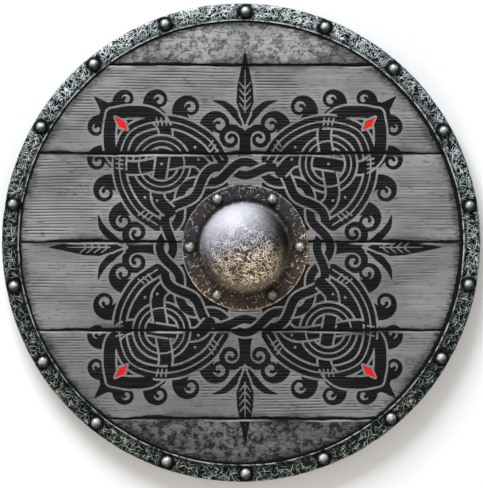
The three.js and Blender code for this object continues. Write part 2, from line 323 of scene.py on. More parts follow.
@dataclass
class Interlace:
    """Ribbons that pass over and under each other by turns.

    Attributes:
        strands: The ribbons.
        halo: Width of the bare line beside a ribbon where it passes over another.
        reach: How far to each side of a crossing the upper ribbon is repainted.
    """

    strands: list[Strand]
    halo: float
    reach: float = 9.5

    def crossings(self) -> list[Crossing]:
        """Finds where ribbons cross.

        Returns:
            For each crossing, the number of each ribbon and the place along it.
        """
        found = []
        for i, first in enumerate(self.strands):
            for j, second in enumerate(self.strands[i:], i):
                a, b = first.path[:-1, None], np.diff(first.path, axis=0)[:, None]
                c, d = second.path[None, :-1], np.diff(second.path, axis=0)[None]
                area = b[..., 0] * d[..., 1] - b[..., 1] * d[..., 0]
                area = np.where(np.abs(area) < 1e-9, 1e-9, area)
                gap = c - a
                s = (gap[..., 0] * d[..., 1] - gap[..., 1] * d[..., 0]) / area
                t = (gap[..., 0] * b[..., 1] - gap[..., 1] * b[..., 0]) / area
                for m, n in np.argwhere((s >= 0) & (s < 1) & (t >= 0) & (t < 1)):
                    if i != j or n > m + 1:
                        found.append(((i, m + s[m, n]), (j, n + t[m, n])))
        return found

    def uppers(self, found: list[Crossing]) -> list[int]:
        """Chooses which ribbon is on top at each crossing, so that every ribbon goes over and under by turns.

        Args:
            found: The crossings.

        Returns:
            For each crossing, 0 or 1 for the first or the second of its ribbons.
        """
        stops: dict[int, list[tuple[float, int, int]]] = {}
        for number, pair in enumerate(found):
            for side, (strand, place) in enumerate(pair):
                stops.setdefault(strand, []).append((place, number, side))
        neighbours: dict[int, list[tuple[int, int, int]]] = {number: [] for number in range(len(found))}
        for rows in stops.values():
            rows.sort()
            for (_, number, side), (_, other, far) in zip(rows, rows[1:]):
                neighbours[number].append((side, other, far))
                neighbours[other].append((far, number, side))
        over: dict[int, int] = {}
        for first in range(len(found)):
            queue = [] if first in over else [first]
            over.setdefault(first, 0)
            while queue:
                number = queue.pop()
                for side, other, far in neighbours[number]:
                    if other not in over:
                        over[other] = 1 - far if over[number] == side else far
                        queue.append(other)
        return [over[number] for number in range(len(found))]

    def draw(self, paint: Paint) -> None:
        """Paints every ribbon, then each crossing's upper ribbon again, over the lower.

        Args:
            paint: Where they are painted.
        """
        for strand in self.strands:
            paint.stroke(strand.path, width_along(strand.path, [strand.half]))
        found = self.crossings()
        for pair, upper in zip(found, self.uppers(found)):
            number, place = pair[upper]
            strand = self.strands[number]
            piece = strand.piece(place, self.reach)
            paint.bridge(piece, width_along(piece, [strand.half]), self.halo)


@dataclass
class Ornament:
    """The painted ornament: a plaited ring, four knotted arms with curls, and four leaves between them.

    It is drawn in millimetres from the middle of the boss. An arm or a leaf is drawn along the first axis
    and its other half mirrored, then turned to its place.

    Attributes:
        halo: Width of the bare lines between painted shapes.
        line: Half width of a thin bare line.
        rung: Half length of the short bare lines across an arm.
        plait_radius: Middle of the plaited ring.
        plait_swing: How far its two ribbons swing to each side.
        plait_waves: How often they do so.
        plait_half: Half width of its ribbons.
        band_half: Half width of the arms' ribbons.
        hoop_half: Half width of the ring in each arm's knot.
        arms: The arms' directions.
        leaves: The leaves' directions.
    """

    halo: float = 2.7
    line: float = 1.0
    rung: float = 4.4
    plait_radius: float = 100
    plait_swing: float = 8.5
    plait_waves: int = 8
    plait_half: float = 5.4
    band_half: float = 7.4
    hoop_half: float = 6.4
    arms: Sequence[float] = field(default_factory=lambda: [math.radians(45 + 90 * k) for k in range(4)])
    leaves: Sequence[float] = field(default_factory=lambda: [math.radians(90 * k) for k in range(4)])

    def ribbons(self) -> tuple[list[Strand], list[Path]]:
        """Lays out the interlaced ribbons.

        Returns:
            The ribbons, and the lines that stay bare along the middle of some.
        """
        angle = np.linspace(0, FULL_TURN, 361)
        circle = np.stack([np.cos(angle), np.sin(angle)], 1)
        swing = self.plait_swing * np.cos(self.plait_waves * angle)[:, None]
        strands = [Strand(circle * (self.plait_radius + sign * swing), self.plait_half) for sign in (1, -1)]
        lines = []
        side = smooth_path([(100, -36), (124, -33), (150, 0), (176, 33), (203, 36), (225, 19), (239, 0)])
        half_arch = [(99, 59), (131, 64), (167, 54), (194, 31)]
        arch = smooth_path([*half_arch, (207, 0), *((u, -v) for u, v in reversed(half_arch))])
        hoop = ring_path((150, 0), 29)
        for arm in self.arms:
            for path in (side, mirrored(side), arch):
                strands.append(Strand(turned(path, arm), self.band_half))
            strands.append(Strand(turned(hoop, arm), self.hoop_half))
            lines += [turned(arch, arm), turned(hoop, arm)]
        return strands, lines

    def draw_arm(self, ground: Paint, arm: float) -> None:
        """Paints the solid part of an arm, with its row of curls.

        Args:
            ground: Where it is painted.
            arm: The arm's direction.
        """
        body = smooth_path([(100, 0), (132, 0), (168, 0), (194, 0), (214, 0), (232, 0), (246, 0)], 4)
        ground.lay(body, arm, [50, 61, 53, 37, 31, 22, 8])
        curls = [((134, 62), 62, 20, 15.5), ((166, 54), 40, 20, 14.5), ((196, 38), 22, 18, 13.5),
                 ((222, 16), 4, 18, 12)]
        for start, heading, rise, radius in curls:
            path = curl_path(start, heading, rise, radius, 1.3)
            ground.pair(path, arm, [12, 7.0, 3.6, 2.5, 2.2, 2.0, 1.9, 2.4])
        ground.lay(smooth_path([(240, 0), (250, 0), (272, 0)]), arm, [9, 8, 0.4])

    def engrave_arm(self, bands: Paint, arm: float) -> None:
        """Bares the fine lines in an arm's solid parts.

        Args:
            bands: Where they are bared.
            arm: The arm's direction.
        """
        rungs = ((112, 59, 92), (118, 61, 85), (124, 63, 80), (184, 42, 38), (188, 38, 34), (192, 34, 30))
        for u, v, slope in rungs:
            along = np.array([math.cos(math.radians(slope)), math.sin(math.radians(slope))]) * self.rung
            bands.pair([(u, v) - along, (u, v) + along], arm, [self.line], bare=True)
        for u, v in ((150, 0), (216, 0), (135, 45), (128, 40), (121, 37)):
            bands.pair([(u, v), (u + 0.1, v)], arm, [1.7], bare=True)

    def draw_leaf(self, ground: Paint, angle: float) -> None:
        """Paints a leaf between two arms, on a stem that opens into two curls.

        Args:
            ground: Where it is painted.
            angle: The leaf's direction.
        """
        spiral = curl_path((104, 7), 2, 34, 16, 1.45)
        ground.pair(spiral, angle, [5, 5, 4.2, 3.4, 2.8, 2.4, 2.1, 2.6])
        for u in (112, 119, 126, 133, 140):
            ground.lay([(u, -4), (u, 4)], angle, [1.4])
        frond = smooth_path([(156, 5), (170, 13), (182, 26), (187, 42)])
        ground.pair(frond, angle, [4, 7.5, 6.5, 2.5], bare=True)
        ground.pair(frond, angle, [1.5, 5, 4, 0.4])
        blade = [(156, 0), (170, 0), (186, 0), (204, 0), (226, 0), (250, 0)]
        half = np.array([0.5, 6.0, 11.0, 10.0, 5.5, 0.4])
        ground.lay(blade, angle, half + self.halo, bare=True)
        ground.lay(blade, angle, half)
        ground.lay([(172, 0), (226, 0)], angle, [self.line, 0.5], bare=True)
        for u in (176, 185, 194, 203):
            ground.pair([(u, 1.5), (u + 7, 7)], angle, [0.9, 0.6], bare=True)

    def draw(self, points: Field) -> tuple[Field, Field]:
        """Measures the ornament at scattered points.

        Args:
            points: The points, in millimetres from the middle of the boss.

        Returns:
            Depths inside the black paint and inside the red, negative outside them.
        """
        bands, cover, ground, red = Paint(points), Paint(points), Paint(points), Paint(points)
        strands, lines = self.ribbons()
        Interlace(strands, self.halo).draw(bands)
        for strand in strands:
            cover.stroke(strand.path, width_along(strand.path, [strand.half]))
        for path in lines:
            bands.cut(path, width_along(path, [self.line]))
        for arm in self.arms:
            self.draw_arm(ground, arm)
        for angle in self.leaves:
            self.draw_leaf(ground, angle)
        bands.depth = np.maximum(bands.depth, np.minimum(ground.depth, -cover.depth - self.halo))
        drop = [(212, 0), (222, 0), (234, 0)]
        for arm in self.arms:
            self.engrave_arm(bands, arm)
            bands.lay(drop, arm, [2.5, 7.4, 2.5], bare=True)
            red.lay(drop, arm, [0.6, 4.8, 0.6])
        return bands.depth, red.depth


# Node trees


class Graph:
    """A material's node tree, with short calls for the nodes that the finishes use."""

    def __init__(self, name: str) -> None:
        """Makes an empty material.

        Args:
            name: The material's name.
        """
        self.material = bpy.data.materials.new(name)
        self.material.use_nodes = True
        self.tree = self.material.node_tree
        self.tree.nodes.clear()

    def node(self, kind: str, links: dict, **settings: object) -> bpy.types.Node:
        """Adds a node.

        Args:
            kind: The node's type.
            links: Input names or numbers, each with a socket to link or a value to set.
            **settings: The node's own settings.

        Returns:
            The node.
        """
        made = self.tree.nodes.new(kind)
        for key, value in settings.items():
            setattr(made, key, value)
        for key, value in links.items():
            if isinstance(value, bpy.types.NodeSocket):
                self.tree.links.new(value, made.inputs[key])
            else:
                made.inputs[key].default_value = value
        return made

    def place(self) -> Socket:
        """Gives the surface point, in the object's own coordinates."""
        return self.node("ShaderNodeTexCoord", {}).outputs["Object"]

    def attribute(self, name: str) -> Socket:
        """Gives a value stored on the mesh's points."""
        return self.node("ShaderNodeAttribute", {}, attribute_name=name).outputs["Fac"]

    def vector(self, name: str) -> Socket:
        """Gives a vector stored on the mesh's points."""
        return self.node("ShaderNodeAttribute", {}, attribute_name=name).outputs["Vector"]

    def moved(self, vector: Socket, scale: Sequence[float], turn: float = 0.0,
              shift: Sequence[float] = (0, 0, 0)) -> Socket:
        """Shifts, turns about Z and scales a pattern.

        Args:
            vector: The coordinates.
            scale: How often the pattern repeats in a metre, along each axis.
            turn: Its turn, in degrees.
            shift: Its shift, in pattern units.

        Returns:
            The new coordinates.
        """
        rotation = (0, 0, math.radians(turn))
        turned_place = self.node("ShaderNodeMapping", {"Vector": vector, "Rotation": rotation}).outputs[0]
        links = {"Vector": turned_place, "Location": shift, "Scale": scale}
        return self.node("ShaderNodeMapping", links).outputs[0]

    def noise(self, vector: Socket, scale: float = 1.0, detail: float = 2.0,
              rough: float = 0.5) -> Socket:
        """Gives soft noise from 0 to 1."""
        links = {"Vector": vector, "Scale": scale, "Detail": detail, "Roughness": rough}
        return self.node("ShaderNodeTexNoise", links).outputs[0]

    def grain(self, vector: Socket, scale: Sequence[float], detail: float = 2.0,
              rough: float = 0.5) -> Socket:
        """Gives soft noise from 0 to 1, with its own scale along each axis."""
        return self.noise(self.moved(vector, scale), 1.0, detail, rough)

    def cells(self, vector: Socket) -> Socket:
        """Gives the distance to the nearest border between random cells."""
        links = {"Vector": vector, "Scale": 1.0}
        return self.node("ShaderNodeTexVoronoi", links, feature="DISTANCE_TO_EDGE").outputs[0]

    def math(self, operation: str, first: Value, second: Value = 0.0, clamp: bool = False) -> Socket:
        """Combines two values."""
        links = {0: first, 1: second}
        return self.node("ShaderNodeMath", links, operation=operation, use_clamp=clamp).outputs[0]

    def plus(self, first: Value, second: Value, clamp: bool = False) -> Socket:
        """Adds two values."""
        return self.math("ADD", first, second, clamp)

    def less(self, first: Value, second: Value, clamp: bool = False) -> Socket:
        """Takes the second value from the first."""
        return self.math("SUBTRACT", first, second, clamp)

    def times(self, first: Value, second: Value) -> Socket:
        """Multiplies two values."""
        return self.math("MULTIPLY", first, second)

    def ragged(self, value: Value, noise: Socket, reach: float) -> Socket:
        """Shifts a value up and down by noise, over a reach."""
        return self.plus(value, self.times(self.less(noise, 0.5), reach))

    def band(self, value: Socket, start: float, end: float, low: float = 0.0,
             high: float = 1.0) -> Socket:
        """Turns a value between start and end into one between low and high, smoothly and clamped."""
        links = {"Value": value, "From Min": start, "From Max": end, "To Min": low, "To Max": high}
        return self.node("ShaderNodeMapRange", links, interpolation_type="SMOOTHSTEP").outputs[0]

    def mix(self, share: Value, first: Tint, second: Tint) -> Socket:
        """Mixes two colours."""
        return self.node("ShaderNodeMix", {0: share, 6: first, 7: second}, data_type="RGBA").outputs[2]

    def shade(self, share: Value, low: float, high: float, colour: Tint) -> Socket:
        """Multiplies a colour by a factor that runs from low to high with a share.

        Args:
            share: The share, from 0 to 1.
            low: The factor for a share of 0.
            high: The factor for a share of 1.
            colour: The colour.

        Returns:
            The new colour.
        """
        factor = self.node("ShaderNodeMapRange", {"Value": share, "To Min": low, "To Max": high}).outputs[0]
        grey_factor = self.node("ShaderNodeCombineColor", dict.fromkeys(range(3), factor)).outputs[0]
        links = {0: 1.0, 6: colour, 7: grey_factor}
        return self.node("ShaderNodeMix", links, data_type="RGBA", blend_type="MULTIPLY").outputs[2]

    def bump(self, height: Socket, distance: float, normal: Socket | None = None) -> Socket:
        """Bends the normal by a height.

        Args:
            height: The height.
            distance: What a height of 1 stands for, in metres.
            normal: The normal to bend, if it isn't the surface's own.

        Returns:
            The new normal.
        """
        links = {"Height": height, "Distance": distance, "Strength": 1.0}
        if normal is not None:
            links["Normal"] = normal
        return self.node("ShaderNodeBump", links).outputs[0]

    def finish(self, links: dict) -> Material:
        """Closes the tree with its shader.

        Args:
            links: The shader's inputs.

        Returns:
            The material.
        """
        shader = self.node("ShaderNodeBsdfPrincipled", links)
        self.node("ShaderNodeOutputMaterial", {"Surface": shader.outputs[0]})
        return self.material


def grey(value: float, tint: Sequence[float] = (1, 1, 1)) -> Colour:
    """Makes a grey of a brightness, with a tint."""
    return (value * tint[0], value * tint[1], value * tint[2], 1.0)


@dataclass(frozen=True)
class PlankFinish:
    """Grey-stained wood with a painted ornament rubbed thin in places, and painted shade and highlights.

    Attributes:
        slot: The material's name.
        stain: The bare wood's colour.
        groove: Its colour in the combed lines.
        soot_and_shade: The colour of seams and smudges, and of the painted shadow along the seams and beside
            the rim.
        black: The black paint.
        red: The red paint.
    """

    slot: str = "plank_wood"
    stain: Colour = grey(0.218, (1.0, 0.997, 1.0))
    groove: Colour = grey(0.052)
    soot_and_shade: Colour = grey(0.013)
    black: Colour = grey(0.002)
    red: Colour = (0.60, 0.009, 0.009, 1.0)

    def make(self) -> Material:
        """Builds the material.

        Returns:
            The material.
        """
        g = Graph(self.slot)
        board = g.attribute("board")
        shift = g.node("ShaderNodeCombineXYZ", {0: board, 1: board, 2: board}).outputs[0]
        place = g.node("ShaderNodeVectorMath", {0: g.place(), 1: shift}, operation="ADD").outputs[0]
        fibre = g.grain(place, (10, 560, 60), 3, 0.62)
        streak = g.grain(place, (3, 90, 20), 3, 0.6)
        blotch = g.grain(place, (11, 22, 10), 4, 0.62)
        fleck = g.grain(place, (70, 560, 60), 1)
        comb, edge, rim_gap = g.attribute("comb"), g.attribute("edge"), g.attribute("rim_gap")
        # combed lines, each with a painted highlight along its lit side, which also lightens the paint there
        clear = g.times(g.band(g.attribute("ink"), -7.0, -2.5, 1.0, 0.35), comb)
        phase = g.plus(g.attribute("phase"), g.times(streak, 0.16))
        across = g.less(g.math("FRACT", g.plus(phase, 0.42)), 0.5)
        core = g.band(g.math("ABSOLUTE", across), 0.07, 0.25, 1.0, 0.0)
        ridge_highlight = g.band(g.math("ABSOLUTE", g.plus(across, 0.31)), 0.03, 0.19, 1.0, 0.0)
        wood = g.mix(g.band(g.times(core, clear), 0.0, 0.75), self.stain, self.groove)
        wood = g.shade(g.times(ridge_highlight, clear), 1.0, 1.5, wood)
        wood = g.shade(fibre, 0.5, 1.5, wood)
        wood = g.shade(streak, 0.72, 1.28, wood)
        wood = g.shade(g.band(blotch, 0.3, 0.7), 0.72, 1.14, wood)
        wood = g.mix(g.band(g.grain(place, (34, 60, 30), 4, 0.7), 0.60, 0.74, 0.0, 0.5), wood, self.soot_and_shade)
        wood = g.mix(g.band(fleck, 0.64, 0.74, 0.0, 0.6), wood, self.soot_and_shade)
        tick = g.band(g.grain(place, (110, 620, 60), 2), 0.5, 0.6)
        wood = g.mix(g.times(tick, g.band(rim_gap, 2.0, 16.0, 0.9, 0.0)), wood, self.soot_and_shade)
        wood = self.weathered(g, place, wood)
        # Darker smudges along the seams, partly painted shade, and a painted shadow spreading from the rim
        # over the planks.
        wood = g.mix(g.band(g.ragged(edge, blotch, 26.0), 0.0, 7.0, 0.5, 0.0), wood, self.soot_and_shade)
        wood = g.mix(g.band(g.ragged(rim_gap, blotch, 26.0), 0.5, 12.0, 0.62, 0.0), wood, self.soot_and_shade)
        wood = g.shade(g.attribute("tone"), 0.0, 1.3, wood)
        # paint, rubbed off along its edges, on the ridges between the combed lines and at the planks' upper
        # edges, where the wood also gets a painted highlight
        chips = g.grain(place, (420, 900, 60), 2)
        ridge = g.plus(g.band(fibre, 0.30, 0.60, 0.94, 1.0), g.times(g.times(ridge_highlight, comb), -0.10))
        ink = g.band(g.ragged(g.attribute("ink"), chips, 1.3), -0.2, 0.2)
        red = g.times(g.band(g.ragged(g.attribute("blush"), chips, 1.3), -0.2, 0.2), ridge)
        worn = g.times(g.attribute("worn"), g.band(streak, 0.38, 0.55))
        keep = g.less(1.0, worn, clamp=True)
        colour = g.mix(g.times(g.times(ink, ridge), keep), wood, self.black)
        colour = g.mix(g.times(red, keep), colour, self.red)
        # Painted highlight: a pale strip along each plank's upper edge, below the seam, facing the key lamp.
        colour = g.mix(g.times(worn, 0.6), colour, grey(0.46))
        # dark seams, widened by a painted shadow along each plank's lower edge, and a painted shadow as a
        # dark line beside the rim
        colour = g.mix(g.band(g.ragged(edge, streak, 1.5), 0.6, 1.5, 0.97, 0.0), colour, grey(0.005))
        colour = g.mix(g.band(g.ragged(rim_gap, streak, 5.0), 2.0, 3.8, 0.97, 0.0), colour, grey(0.003))
        rough = g.band(g.plus(fibre, g.times(ink, -0.2)), 0.2, 0.8, 0.62, 0.88)
        normal = g.bump(fleck, 0.10 * MM, g.bump(fibre, 0.14 * MM))
        return g.finish({"Base Color": colour, "Roughness": rough, "Normal": normal,
                         "Specular IOR Level": 0.10})

    def weathered(self, g: Graph, place: Socket, wood: Socket) -> Socket:
        """Adds cracks, specks and flaws, on the planks that are pitted.

        Args:
            g: The material's tree.
            place: The coordinates.
            wood: The wood's colour.

        Returns:
            The new colour.
        """
        pitted = g.attribute("pitted")
        mottle = g.grain(place, (240, 260, 60), 3, 0.6)
        clump = g.grain(place, (105, 125, 60), 3, 0.62)
        links = {"Vector": g.moved(place, (130, 150, 60)), "Detail": 2.0}
        bend = g.node("ShaderNodeTexNoise", links).outputs["Color"]
        links = {0: bend, 1: (2.6, 2.6, 0.0), 2: g.moved(place, (170, 200, 60))}
        bent = g.node("ShaderNodeVectorMath", links, operation="MULTIPLY_ADD").outputs[0]
        crack = g.times(g.band(g.cells(bent), 0.06, 0.22, 1.0, 0.0), g.band(clump, 0.45, 0.54))
        crack = g.times(crack, g.band(pitted, 0.0, 0.3))
        speck = g.times(g.band(g.plus(g.times(mottle, 0.45), g.times(clump, 0.55)), 0.52, 0.58), pitted)
        wood = g.mix(g.times(g.math("MAXIMUM", crack, speck), 0.88), wood, self.soot_and_shade)
        return g.shade(g.plus(g.times(g.less(mottle, 0.5), pitted), 0.5), 1.8, 0.2, wood)


@dataclass(frozen=True)
class BattenFinish:
    """Oiled brown wood, darker and smoother where it is held.

    Attributes:
        slot: The material's name.
        pale: The colour between the grain lines.
        dark: The colour of the grain lines.
    """

    slot: str = "batten_wood"
    pale: Colour = (0.20, 0.13, 0.08, 1.0)
    dark: Colour = (0.06, 0.036, 0.02, 1.0)

    def make(self) -> Material:
        """Builds the material.

        Returns:
            The material.
        """
        g = Graph(self.slot)
        place = g.place()
        fibre = g.grain(place, (620, 12, 500), 3, 0.6)
        ring = g.grain(place, (120, 4, 90), 3, 0.6)
        pore = g.grain(place, (900, 60, 900), 1)
        held = g.attribute("held")
        colour = g.mix(g.band(ring, 0.35, 0.65), self.dark, self.pale)
        colour = g.shade(fibre, 0.7, 1.3, colour)
        colour = g.mix(g.band(pore, 0.64, 0.74, 0.0, 0.7), colour, self.dark)
        colour = g.mix(g.times(held, 0.55), colour, self.dark)
        rough = g.less(g.band(fibre, 0.2, 0.8, 0.5, 0.75), g.times(held, 0.2))
        normal = g.bump(g.plus(fibre, g.times(pore, -0.6)), 0.25 * MM)
        return g.finish({"Base Color": colour, "Roughness": rough, "Normal": normal,
                         "Specular IOR Level": 0.35})


@dataclass(frozen=True)
class SteelFinish:
    """Worn steel with a dark patina that random short scratches cut through.

    Attributes:
        slot: The material's name.
        patina: The dark colour.
        bright: The bare metal's colour.
        warm: The bare metal's warm colour: tarnish on the nails, and a painted warm light on the rim, the
            boss and its rivets, on the side away from the key lamp.
        bare: How much bare metal shows between the scratches, from 0 to 1.
        scratch_share: How dense the scratches are, from 0 to 1.
        stroke: Length of a scratch, in metres.
        line: Width of a scratch, in metres.
        patch: Size of the patina's patches, in metres.
        mirror: How far the bare metal reflects as metal does, from 0 to 1.
    """

    slot: str
    patina: Colour
    bright: Colour
    warm: Colour
    bare: float
    scratch_share: float
    stroke: float
    line: float
    patch: float = 18 * MM
    mirror: float = 0.7

    def scratches(self, g: Graph, place: Socket) -> Socket:
        """Lays short strokes in several directions over each other.

        Args:
            g: The material's tree.
            place: The coordinates.

        Returns:
            1 in a scratch and 0 beside it.
        """
        total = None
        scale = (0.6 / self.stroke, 0.5 / self.line, 40)
        start = 0.76 - 0.16 * self.scratch_share
        for number, turn in enumerate((8, 34, 61, 88, 117, 146, 165)):
            layer = g.noise(g.moved(place, scale, turn, (number * 7.3, number * 3.1, 0)), detail=0)
            layer = g.less(layer, g.times(g.attribute("calm"), 0.09))
            layer = g.band(layer, start, start + 0.05)
            total = layer if total is None else g.math("MAXIMUM", total, layer)
        return total

    def make(self) -> Material:
        """Builds the material.

        Returns:
            The material.
        """
        g = Graph(self.slot)
        place = g.vector("sheet")
        # The darkening stored on the mesh stands for soiling and painted shade alike, and the brightening for
        # polished metal and painted highlights alike.
        grime, polish = g.attribute("grime"), g.attribute("polish")
        scratch = self.scratches(g, place)
        cloud = g.noise(place, 1 / self.patch, detail=4, rough=0.65)
        grit = g.grain(place, (900, 900, 900), 2)
        # A warm tint, which is painted warm light on the rim, the boss and its rivets, and tarnish on the
        # nails.
        metal = g.mix(g.attribute("warmth"), self.bright, self.warm)
        shown = g.plus(g.band(cloud, 0.4, 0.7, 0.0, self.bare), polish, clamp=True)
        colour = g.mix(shown, self.patina, metal)
        fade = g.band(g.plus(cloud, g.times(grit, 0.4)), 0.45, 0.85, 0.3, 1.0)
        cut = g.times(g.times(scratch, fade), g.less(1.0, grime, clamp=True))
        colour = g.mix(cut, colour, metal)
        colour = g.shade(grit, 0.6, 1.4, colour)
        # Painted shade and soiling: the colour darkens towards near black.
        colour = g.mix(g.times(grime, 0.94), colour, grey(0.003))
        metallic = g.band(g.math("MAXIMUM", cut, shown), 0.0, 0.6, 0.0, self.mirror)
        rough = g.band(g.plus(cloud, g.times(grit, 0.3)), 0.35, 0.95, 0.36, 0.6)
        height = g.plus(g.times(scratch, -0.4), g.times(grit, 0.3))
        normal = g.bump(height, 0.06 * MM, g.bump(cloud, 0.5 * MM))
        return g.finish({"Base Color": colour, "Metallic": metallic, "Roughness": rough, "Normal": normal,
                         "Specular IOR Level": 0.02})


RIM_STEEL = SteelFinish(
    slot="rim_steel", patina=(0.0035, 0.0085, 0.008, 1), bright=(0.90, 1.0, 1.0, 1),
    warm=(0.82, 0.85, 0.76, 1), bare=0.008, scratch_share=0.46, stroke=8 * MM, line=0.56 * MM)
BOSS_STEEL = SteelFinish(
    slot="boss_steel", patina=(0.016, 0.0105, 0.010, 1), bright=(0.56, 0.56, 0.62, 1),
    warm=(1.0, 0.82, 0.61, 1), bare=0.02, scratch_share=0.56, stroke=8 * MM, line=0.68 * MM, mirror=0.1)
RIVET_STEEL = SteelFinish(
    slot="rivet_steel", patina=(0.003, 0.004, 0.004, 1), bright=(0.62, 0.65, 0.65, 1),
    warm=(0.66, 0.58, 0.50, 1), bare=0.8, scratch_share=0.45, stroke=5 * MM, line=0.6 * MM,
    patch=3 * MM, mirror=0.5)
NAIL_IRON = SteelFinish(
    slot="nail_iron", patina=(0.02, 0.018, 0.017, 1), bright=(0.3, 0.29, 0.28, 1),
    warm=(0.16, 0.08, 0.045, 1), bare=0.2, scratch_share=0.3, stroke=5 * MM, line=0.6 * MM, patch=4 * MM)


# Modelling steps


def deselect() -> None:
    """Leaves nothing selected."""
    if bpy.ops.object.mode_set.poll():
        bpy.ops.object.mode_set(mode="OBJECT")
    bpy.ops.object.select_all(action="DESELECT")


def alone(piece: Piece) -> None:
    """Selects one object and makes it the active one.

    Args:
        piece: The object.
    """
    deselect()
    piece.select_set(True)
    bpy.context.view_layer.objects.active = piece


@contextmanager
def editing(piece: Piece) -> Iterator[None]:
    """Works in edit mode on one object, with nothing selected at first.

    Args:
        piece: The object.

    Yields:
        Nothing, while the object is in edit mode.
    """
    alone(piece)
    bpy.ops.object.mode_set(mode="EDIT")
    bpy.ops.mesh.select_mode(type="VERT")
    bpy.ops.mesh.select_all(action="DESELECT")
    yield
    bpy.ops.object.mode_set(mode="OBJECT")


def named(name: str) -> Piece:
    """Names the object that was just added and puts its place into its mesh.

    Args:
        name: The name.

    Returns:
        The object.
    """
    piece = bpy.context.active_object
    piece.name = piece.data.name = name
    bpy.ops.object.transform_apply(location=True, rotation=True, scale=True)
    return piece


def points_of(piece: Piece) -> Field:
    """Reads a mesh's points.

    Args:
        piece: The object.

    Returns:
        The points, one row each.
    """
    flat = np.empty(len(piece.data.vertices) * 3, np.float32)
    piece.data.vertices.foreach_get("co", flat)
    return flat.reshape(-1, 3).astype(float)


def move_points(piece: Piece, points: Field) -> None:
    """Writes a mesh's points."""
    piece.data.vertices.foreach_set("co", points.astype(np.float32).ravel())
    piece.data.update()


def store(piece: Piece, **fields: Field | float) -> None:
    """Stores values for a mesh's points.

    Args:
        piece: The object.
        **fields: The values under their names, one for each point or one for all.
    """
    for name, values in fields.items():
        attribute = piece.data.attributes.new(name, "FLOAT", "POINT")
        spread = np.broadcast_to(np.asarray(values, np.float32), (len(piece.data.vertices),))
        attribute.data.foreach_set("value", np.ascontiguousarray(spread))


def store_sheet(piece: Piece, along: Field, across: Field) -> None:
    """Stores where each point would lie if the sheet were laid flat, in metres.

    Args:
        piece: The object.
        along: The points' first coordinates there.
        across: Their second coordinates.
    """
    attribute = piece.data.attributes.new("sheet", "FLOAT_VECTOR", "POINT")
    rows = np.stack([along, across, np.zeros(len(along))], 1).astype(np.float32)
    attribute.data.foreach_set("vector", rows.ravel())


def from_axis(points: Field, x: float = 0.0, y: float = 0.0) -> Field:
    """Measures how far points are from an upright axis."""
    return np.hypot(points[:, 0] - x, points[:, 1] - y)


def from_nearest(points: Field, places: Places) -> Field:
    """Measures how far points are from the nearest of several upright axes."""
    return np.min([from_axis(points, *place) for place in places], axis=0)


def dented(points: Field, size: float, seed: int) -> Field:
    """Gives lattice noise in plan, with steps of a size in millimetres."""
    return lattice_noise(points[:, 0] / MM / size, points[:, 1] / MM / size, seed)


def push_out(points: Field, push: Field, x: float = 0.0, y: float = 0.0) -> None:
    """Moves points away from an upright axis, in place."""
    away = np.maximum(from_axis(points, x, y), MM)
    points[:, :2] += (points[:, :2] - (x, y)) * (push / away)[:, None]


def face_outwards() -> None:
    """Turns all faces of the closed mesh that is being edited outwards."""
    bpy.ops.mesh.select_all(action="SELECT")
    bpy.ops.mesh.normals_make_consistent(inside=False)
    if bmesh.from_edit_mesh(bpy.context.edit_object.data).calc_volume(signed=True) < 0:
        bpy.ops.mesh.flip_normals()


def apply_modifier(piece: Piece, kind: str, **settings: object) -> None:
    """Adds a modifier and applies it.

    Args:
        piece: The object.
        kind: The modifier's type.
        **settings: The modifier's settings.
    """
    alone(piece)
    modifier = piece.modifiers.new(kind.lower(), kind)
    for key, value in settings.items():
        setattr(modifier, key, value)
    bpy.ops.object.modifier_apply(modifier=modifier.name)


def thicken(piece: Piece, sheet: float) -> None:
    """Gives a bare surface the thickness of its sheet, inwards, and eases the sheet's edges."""
    apply_modifier(piece, "SOLIDIFY", thickness=sheet, offset=-1)
    apply_modifier(piece, "BEVEL", width=0.35 * MM, segments=2, limit_method="ANGLE",
                   angle_limit=math.radians(60))


def copy_of(pattern: Piece, name: str) -> Piece:
    """Adds a copy of a piece that has its own mesh.

    Args:
        pattern: The piece.
        name: The copy's name.

    Returns:
        The copy.
    """
    piece = pattern.copy()
    piece.data = pattern.data.copy()
    piece.name = piece.data.name = name
    bpy.context.scene.collection.objects.link(piece)
    return piece


def cut_away(piece: Piece, cutters: Iterable[Piece]) -> None:
    """Cuts other objects out of a piece and removes them.

    Args:
        piece: The piece.
        cutters: The other objects.
    """
    for cutter in cutters:
        apply_modifier(piece, "BOOLEAN", object=cutter, operation="DIFFERENCE", solver="MANIFOLD")
        bpy.data.objects.remove(cutter)


def round_cutter(centre: Vector, radius: float, low: float, high: float, sides: int) -> Piece:
    """Adds a cylinder that stands for a hole.

    Args:
        centre: Its middle, of which the height isn't used.
        radius: Its radius.
        low: Its lower end.
        high: Its upper end.
        sides: How many sides it has.

    Returns:
        The cylinder.
    """
    deselect()
    bpy.ops.mesh.primitive_cylinder_add(vertices=sides, radius=radius, depth=high - low,
                                        location=(centre.x, centre.y, (low + high) / 2))
    return named("cutter")


